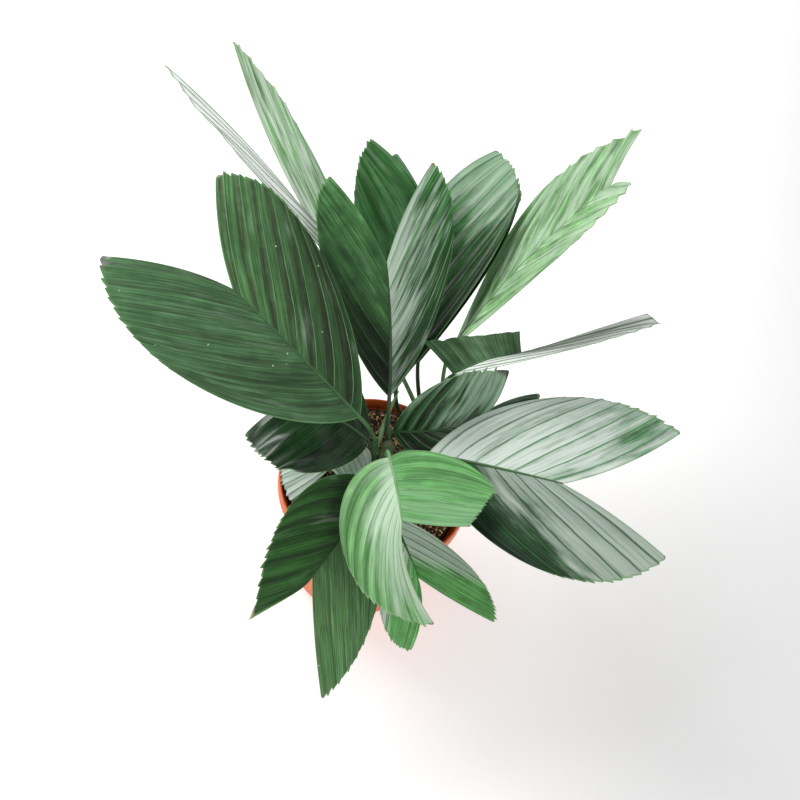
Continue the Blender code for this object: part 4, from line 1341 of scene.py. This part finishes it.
@dataclass
class GrowingMix:
    """The coir: a lumpy bed up to just below the rim, under a layer of loose chips."""

    top: float = 100.5
    heap: float = 2.5
    lump: float = 0.9
    clearance: float = 0.4
    rings: int = 44
    segments: int = 120
    chips: int = 5200
    seed: int = 7
    bed_tone: float = 0.12
    chip_sizes: tuple = ((3.4, 1.7, 1.2), (2.4, 1.9, 1.0), (4.2, 1.1, 0.8), (1.8, 1.5, 1.2))
    chip_points: int = 9
    chip_seed: int = 20
    wall_room: float = 1.6
    cane_room: float = 5.2
    depth: float = 4.0
    finish: ChipFinish = field(default_factory=ChipFinish)

    def height(self, x: float, y: float, share: float) -> float:
        """Returns the bed's height at a point, where share is 1 at the wall."""
        wave = 0.5 * math.sin(0.21 * x + 1.0) * math.cos(0.17 * y)
        small = self.lump * math.sin(0.61 * x + 0.35 * y) * math.sin(0.47 * y - 0.3 * x + 1.0)
        return self.top + self.heap * math.cos(math.pi / 2 * share) ** 2 + wave + 0.6 * small

    def bed(self, pot: Pot) -> bpy.types.Mesh:
        """Builds the bed inside the pot's wall.

        Args:
            pot: the pot that holds it.

        Returns:
            A closed mesh with the attribute chip_tone.
        """
        band = pot.height - pot.band
        rim = pot.wall_radius(band) - pot.wall - self.clearance
        work = bmesh.new()
        rings = [[work.verts.new((0.0, 0.0, self.height(0.0, 0.0, 0.0) * MM))] * self.segments]
        for index in range(1, self.rings + 1):
            share = index / self.rings
            rings.append([
                work.verts.new((x * MM, y * MM, self.height(x, y, share) * MM))
                for x, y in circle(rim * share, self.segments)
            ])
        floor = pot.floor + 0.3
        for radius, height in ((rim, band), (pot.wall_radius(floor) - pot.wall - self.clearance, floor)):
            spots = circle(radius, self.segments)
            rings.append([work.verts.new((x * MM, y * MM, height * MM)) for x, y in spots])
        skin_rings(work, rings)
        work.faces.new(rings[-1])
        mesh = closed_mesh(work, "coir_bed")
        tone = mesh.attributes.new("chip_tone", "FLOAT", "POINT")
        tone.data.foreach_set("value", np.full(len(mesh.vertices), self.bed_tone, np.float32))
        mesh.shade_smooth()
        return mesh

    def chip(self, name: str, seed: int, sizes: tuple) -> bpy.types.Object:
        """Builds one chip: the hull of a few random points.

        Args:
            name: the chip's name.
            seed: what its points are drawn from.
            sizes: its length, width and height.

        Returns:
            The chip, not in any scene.
        """
        draw = np.random.default_rng(seed)
        work = bmesh.new()
        for point in draw.uniform(-0.5, 0.5, (self.chip_points, 3)) * np.array(sizes) * MM:
            work.verts.new(point)
        bmesh.ops.convex_hull(work, input=work.verts)
        spare = [v for v in work.verts if not v.link_faces]
        bmesh.ops.delete(work, geom=spare, context="VERTS")
        return bpy.data.objects.new(name, closed_mesh(work, name))

    def strew(self, pot: Pot, canes: tuple, finish: bpy.types.Material) -> bpy.types.Mesh:
        """Strews chips over the bed's top, clear of the wall and the canes.

        Args:
            pot: the pot that holds the bed.
            canes: the canes to leave room for.
            finish: what the chips wear.

        Returns:
            One mesh of all the chips.
        """
        shapes = bpy.data.collections.new("Chip_shapes")
        for i, sizes in enumerate(self.chip_sizes):
            shapes.objects.link(self.chip(f"chip_{i}", self.chip_seed + i, sizes))
        limit = pot.wall_radius(pot.height - pot.band) - pot.wall - self.clearance - self.wall_room
        cover = self.bed(pot)
        work = bmesh.new()
        work.from_mesh(cover)
        low = (self.top - self.depth) * MM

        def covered(face: bmesh.types.BMFace) -> bool:
            """Tells whether chips lie on the face."""
            spot = face.calc_center_median()
            free = all(math.hypot(spot.x / MM - c.x, spot.y / MM - c.y) > self.cane_room for c in canes)
            return spot.z > low and math.hypot(spot.x, spot.y) < limit * MM and free

        bare = [face for face in work.faces if not covered(face)]
        bmesh.ops.delete(work, geom=bare, context="FACES")
        area = sum(face.calc_area() for face in work.faces)
        work.to_mesh(cover)
        work.free()
        values = {"Density": self.chips / area, "Seed": self.seed, "Finish": finish}
        mesh = ChipTree(shapes).run(add_object("chip_bed", cover), "coir_chips", values)
        for shape in list(shapes.objects):
            bpy.data.objects.remove(shape)
        bpy.data.collections.remove(shapes)
        mesh.shade_flat()
        return mesh

    def build(self, pot: Pot, canes: tuple) -> None:
        """Fills the pot and dresses the mix.

        Args:
            pot: the pot that holds it.
            canes: the canes that stand in it.
        """
        finish = self.finish.material()
        bed = self.bed(pot)
        wear(bed, finish)
        place(join("coir", [bed, self.strew(pot, canes, finish)]), "coir_mix", "soil")


@dataclass
class CaneSkin:
    """The look of a cane: ringed by scars at the pitch of its old leaves."""

    radius: float = 4.0
    scar_radius: float = 3.75
    scar_width: float = 0.55
    swell: float = 0.12
    pitch: float = 9.0
    depth: float = 32.0
    soil: float = 100.5
    crown: tuple = ((0.0, 0.0), (1.2, 0.2), (2.6, 0.9), (3.6, 1.8))
    segments: int = 40

    def from_scar(self, cane: Cane, height: float) -> float:
        """Returns the distance from a height to the cane's nearest scar."""
        away = (height - cane.top) % self.pitch
        return min(away, self.pitch - away)

    def build(self, cane: Cane) -> None:
        """Builds a cane with rounded swellings between its scars.

        Args:
            cane: its node, place and height.
        """
        bottom = self.soil - self.depth
        outline = [(radius, cane.top - down) for radius, down in self.crown]
        for height in np.arange(cane.top - 2.4, bottom + 0.9, -0.5):
            dip = math.exp(-((self.from_scar(cane, height) / self.scar_width) ** 2))
            swell = self.swell * math.cos(2 * math.pi * (height - cane.top) / self.pitch)
            radius = self.radius - (self.radius - self.scar_radius) * dip - self.swell + swell * (1 - dip)
            outline.append((radius, height))
        outline += [(self.radius - 0.8, bottom), (0.0, bottom)]
        mesh = lathe(cane.name, outline, self.segments, (cane.x, cane.y))
        wear(mesh, Stem.CANE.value.material(), Stem.SCAR.value.material())
        for face in mesh.polygons:
            face.material_index = int(self.from_scar(cane, face.center.z / MM) < 0.5)
        soften(mesh, 60.0)
        place(add_object(cane.name + "_skin", mesh), "cane_bark", cane.name)


@dataclass
class Spear:
    """The rolled young leaf beside the left cane's crown."""

    path: tuple = ((-2.5, 3.5, 140.0), (-5.0, 6.0, 150.0), (-3.0, 16.0, 160.0), (0.0, 27.0, 169.0))
    radii: tuple = (0.9, 1.2, 1.4, 1.4, 1.2, 0.9, 0.3)
    steps: int = 30
    sides: int = 14

    def build(self, rods: RodTree) -> None:
        """Builds the spear.

        Args:
            rods: the tree that makes it.
        """
        path = bezier(tuple(np.array(p) for p in self.path), np.linspace(0, 1, self.steps + 1))
        stations = np.linspace(0, len(self.radii) - 1, self.steps + 1)
        radii = np.interp(stations, np.arange(len(self.radii)), self.radii)
        mesh = rods.build("spear_leaf", [path], [radii], self.sides, Stem.LIGHT)
        place(add_object("spear_leaf", mesh), "young_leaf", "spear")


# Stage


@dataclass(frozen=True)
class Lamp:
    """A square soft light: its name, its place, its width and its power."""

    name: str
    spot: tuple
    size: float
    power: float

    def build(self, target: Vector) -> None:
        """Hangs the lamp and turns it to the target."""
        lamp = bpy.data.lights.new(self.name, "AREA")
        lamp.shape = "SQUARE"
        lamp.size = self.size
        lamp.energy = self.power
        holder = add_object(self.name, lamp)
        turn = (target - Vector(self.spot)).to_track_quat("-Z", "Y").to_matrix().to_4x4()
        holder.matrix_world = Matrix.Translation(self.spot) @ turn


@dataclass
class Studio:
    """A pale floor, soft light and the camera. Lengths are in metres."""

    eye: tuple = (0.0021, -0.5602, 1.0636)
    pitch: float = 57.0
    roll: float = 15.0
    lens: float = 80.0
    sensor: float = 36.0
    floor_size: float = 12.0
    floor_tones: tuple = (0.86, 0.88)
    floor_glow: float = 0.42
    # Painted shade: the floor dims to the right from the first place to the second, down to this share.
    dim_from: float = 0.04
    dim_to: float = 0.36
    dimmed: float = 0.68
    surround: float = 0.42
    target: tuple = (0.0, 0.0, 0.15)
    lamps: tuple = (Lamp("key", (-1.3, 0.9, 1.9), 1.5, 46.0), Lamp("fill", (1.4, -1.2, 1.6), 1.8, 17.0))

    def floor(self) -> None:
        """Lays a wide pale floor, dimmer to the right: the dimming is painted shade, the fall-off of the
        light across the backdrop.
        """
        bpy.ops.mesh.primitive_plane_add(size=self.floor_size)
        floor = bpy.context.object
        floor.name = "floor"
        made, nodes, shader = surface("Floor_paint")
        place_on = nodes.place()
        tone = nodes.remap(nodes.noise(place_on, 3.0, 2.0), 0.3, 0.7, *self.floor_tones)
        painted_falloff = nodes.remap(nodes.split(place_on)["X"], self.dim_from, self.dim_to, 1.0, self.dimmed)
        grey = nodes.grey(nodes.times(tone, painted_falloff))
        nodes.feed(shader, {
            "Base Color": grey,
            "Emission Color": grey,
            "Emission Strength": self.floor_glow,
            "Roughness": 0.9,
        })
        floor.data.materials.append(made)

    def light(self) -> None:
        """Sets an even white surround and the lamps."""
        world = bpy.data.worlds.new("Surround")
        world.use_nodes = True
        inputs = world.node_tree.nodes["Background"].inputs
        inputs["Color"].default_value = (1.0, 1.0, 1.0, 1.0)
        inputs["Strength"].default_value = self.surround
        bpy.context.scene.world = world
        for lamp in self.lamps:
            lamp.build(Vector(self.target))

    def camera(self) -> None:
        """Sets the camera: it looks down at the plant, turned about its line of sight."""
        pitch, roll = math.radians(self.pitch), math.radians(self.roll)
        ahead = Vector((0.0, math.cos(pitch), -math.sin(pitch)))
        level, top = Vector((1.0, 0.0, 0.0)), Vector((0.0, math.sin(pitch), math.cos(pitch)))
        right = math.cos(roll) * level + math.sin(roll) * top
        up = -math.sin(roll) * level + math.cos(roll) * top
        camera = bpy.data.cameras.new("camera")
        camera.lens = self.lens
        camera.sensor_width = self.sensor
        holder = add_object("camera", camera)
        holder.matrix_world = Matrix.Translation(self.eye) @ Matrix((right, up, -ahead)).transposed().to_4x4()
        bpy.context.scene.camera = holder

    def build(self) -> None:
        """Sets the stage."""
        self.floor()
        self.light()
        self.camera()
        bpy.context.scene.view_settings.view_transform = "Standard"


def main() -> None:
    """Builds the plant, then the stage."""
    logging.basicConfig(level=logging.INFO, format="%(name)s %(message)s")
    rods = RodTree()
    pot = Pot()
    canes = (CANE_LEFT, CANE_RIGHT)
    pot.build()
    GrowingMix().build(pot, canes)
    for cane in canes:
        CaneSkin().build(cane)
    for frond in FRONDS:
        frond.build(rods)
    Spear().build(rods)
    Studio().build()


if __name__ == "__main__":
    main()
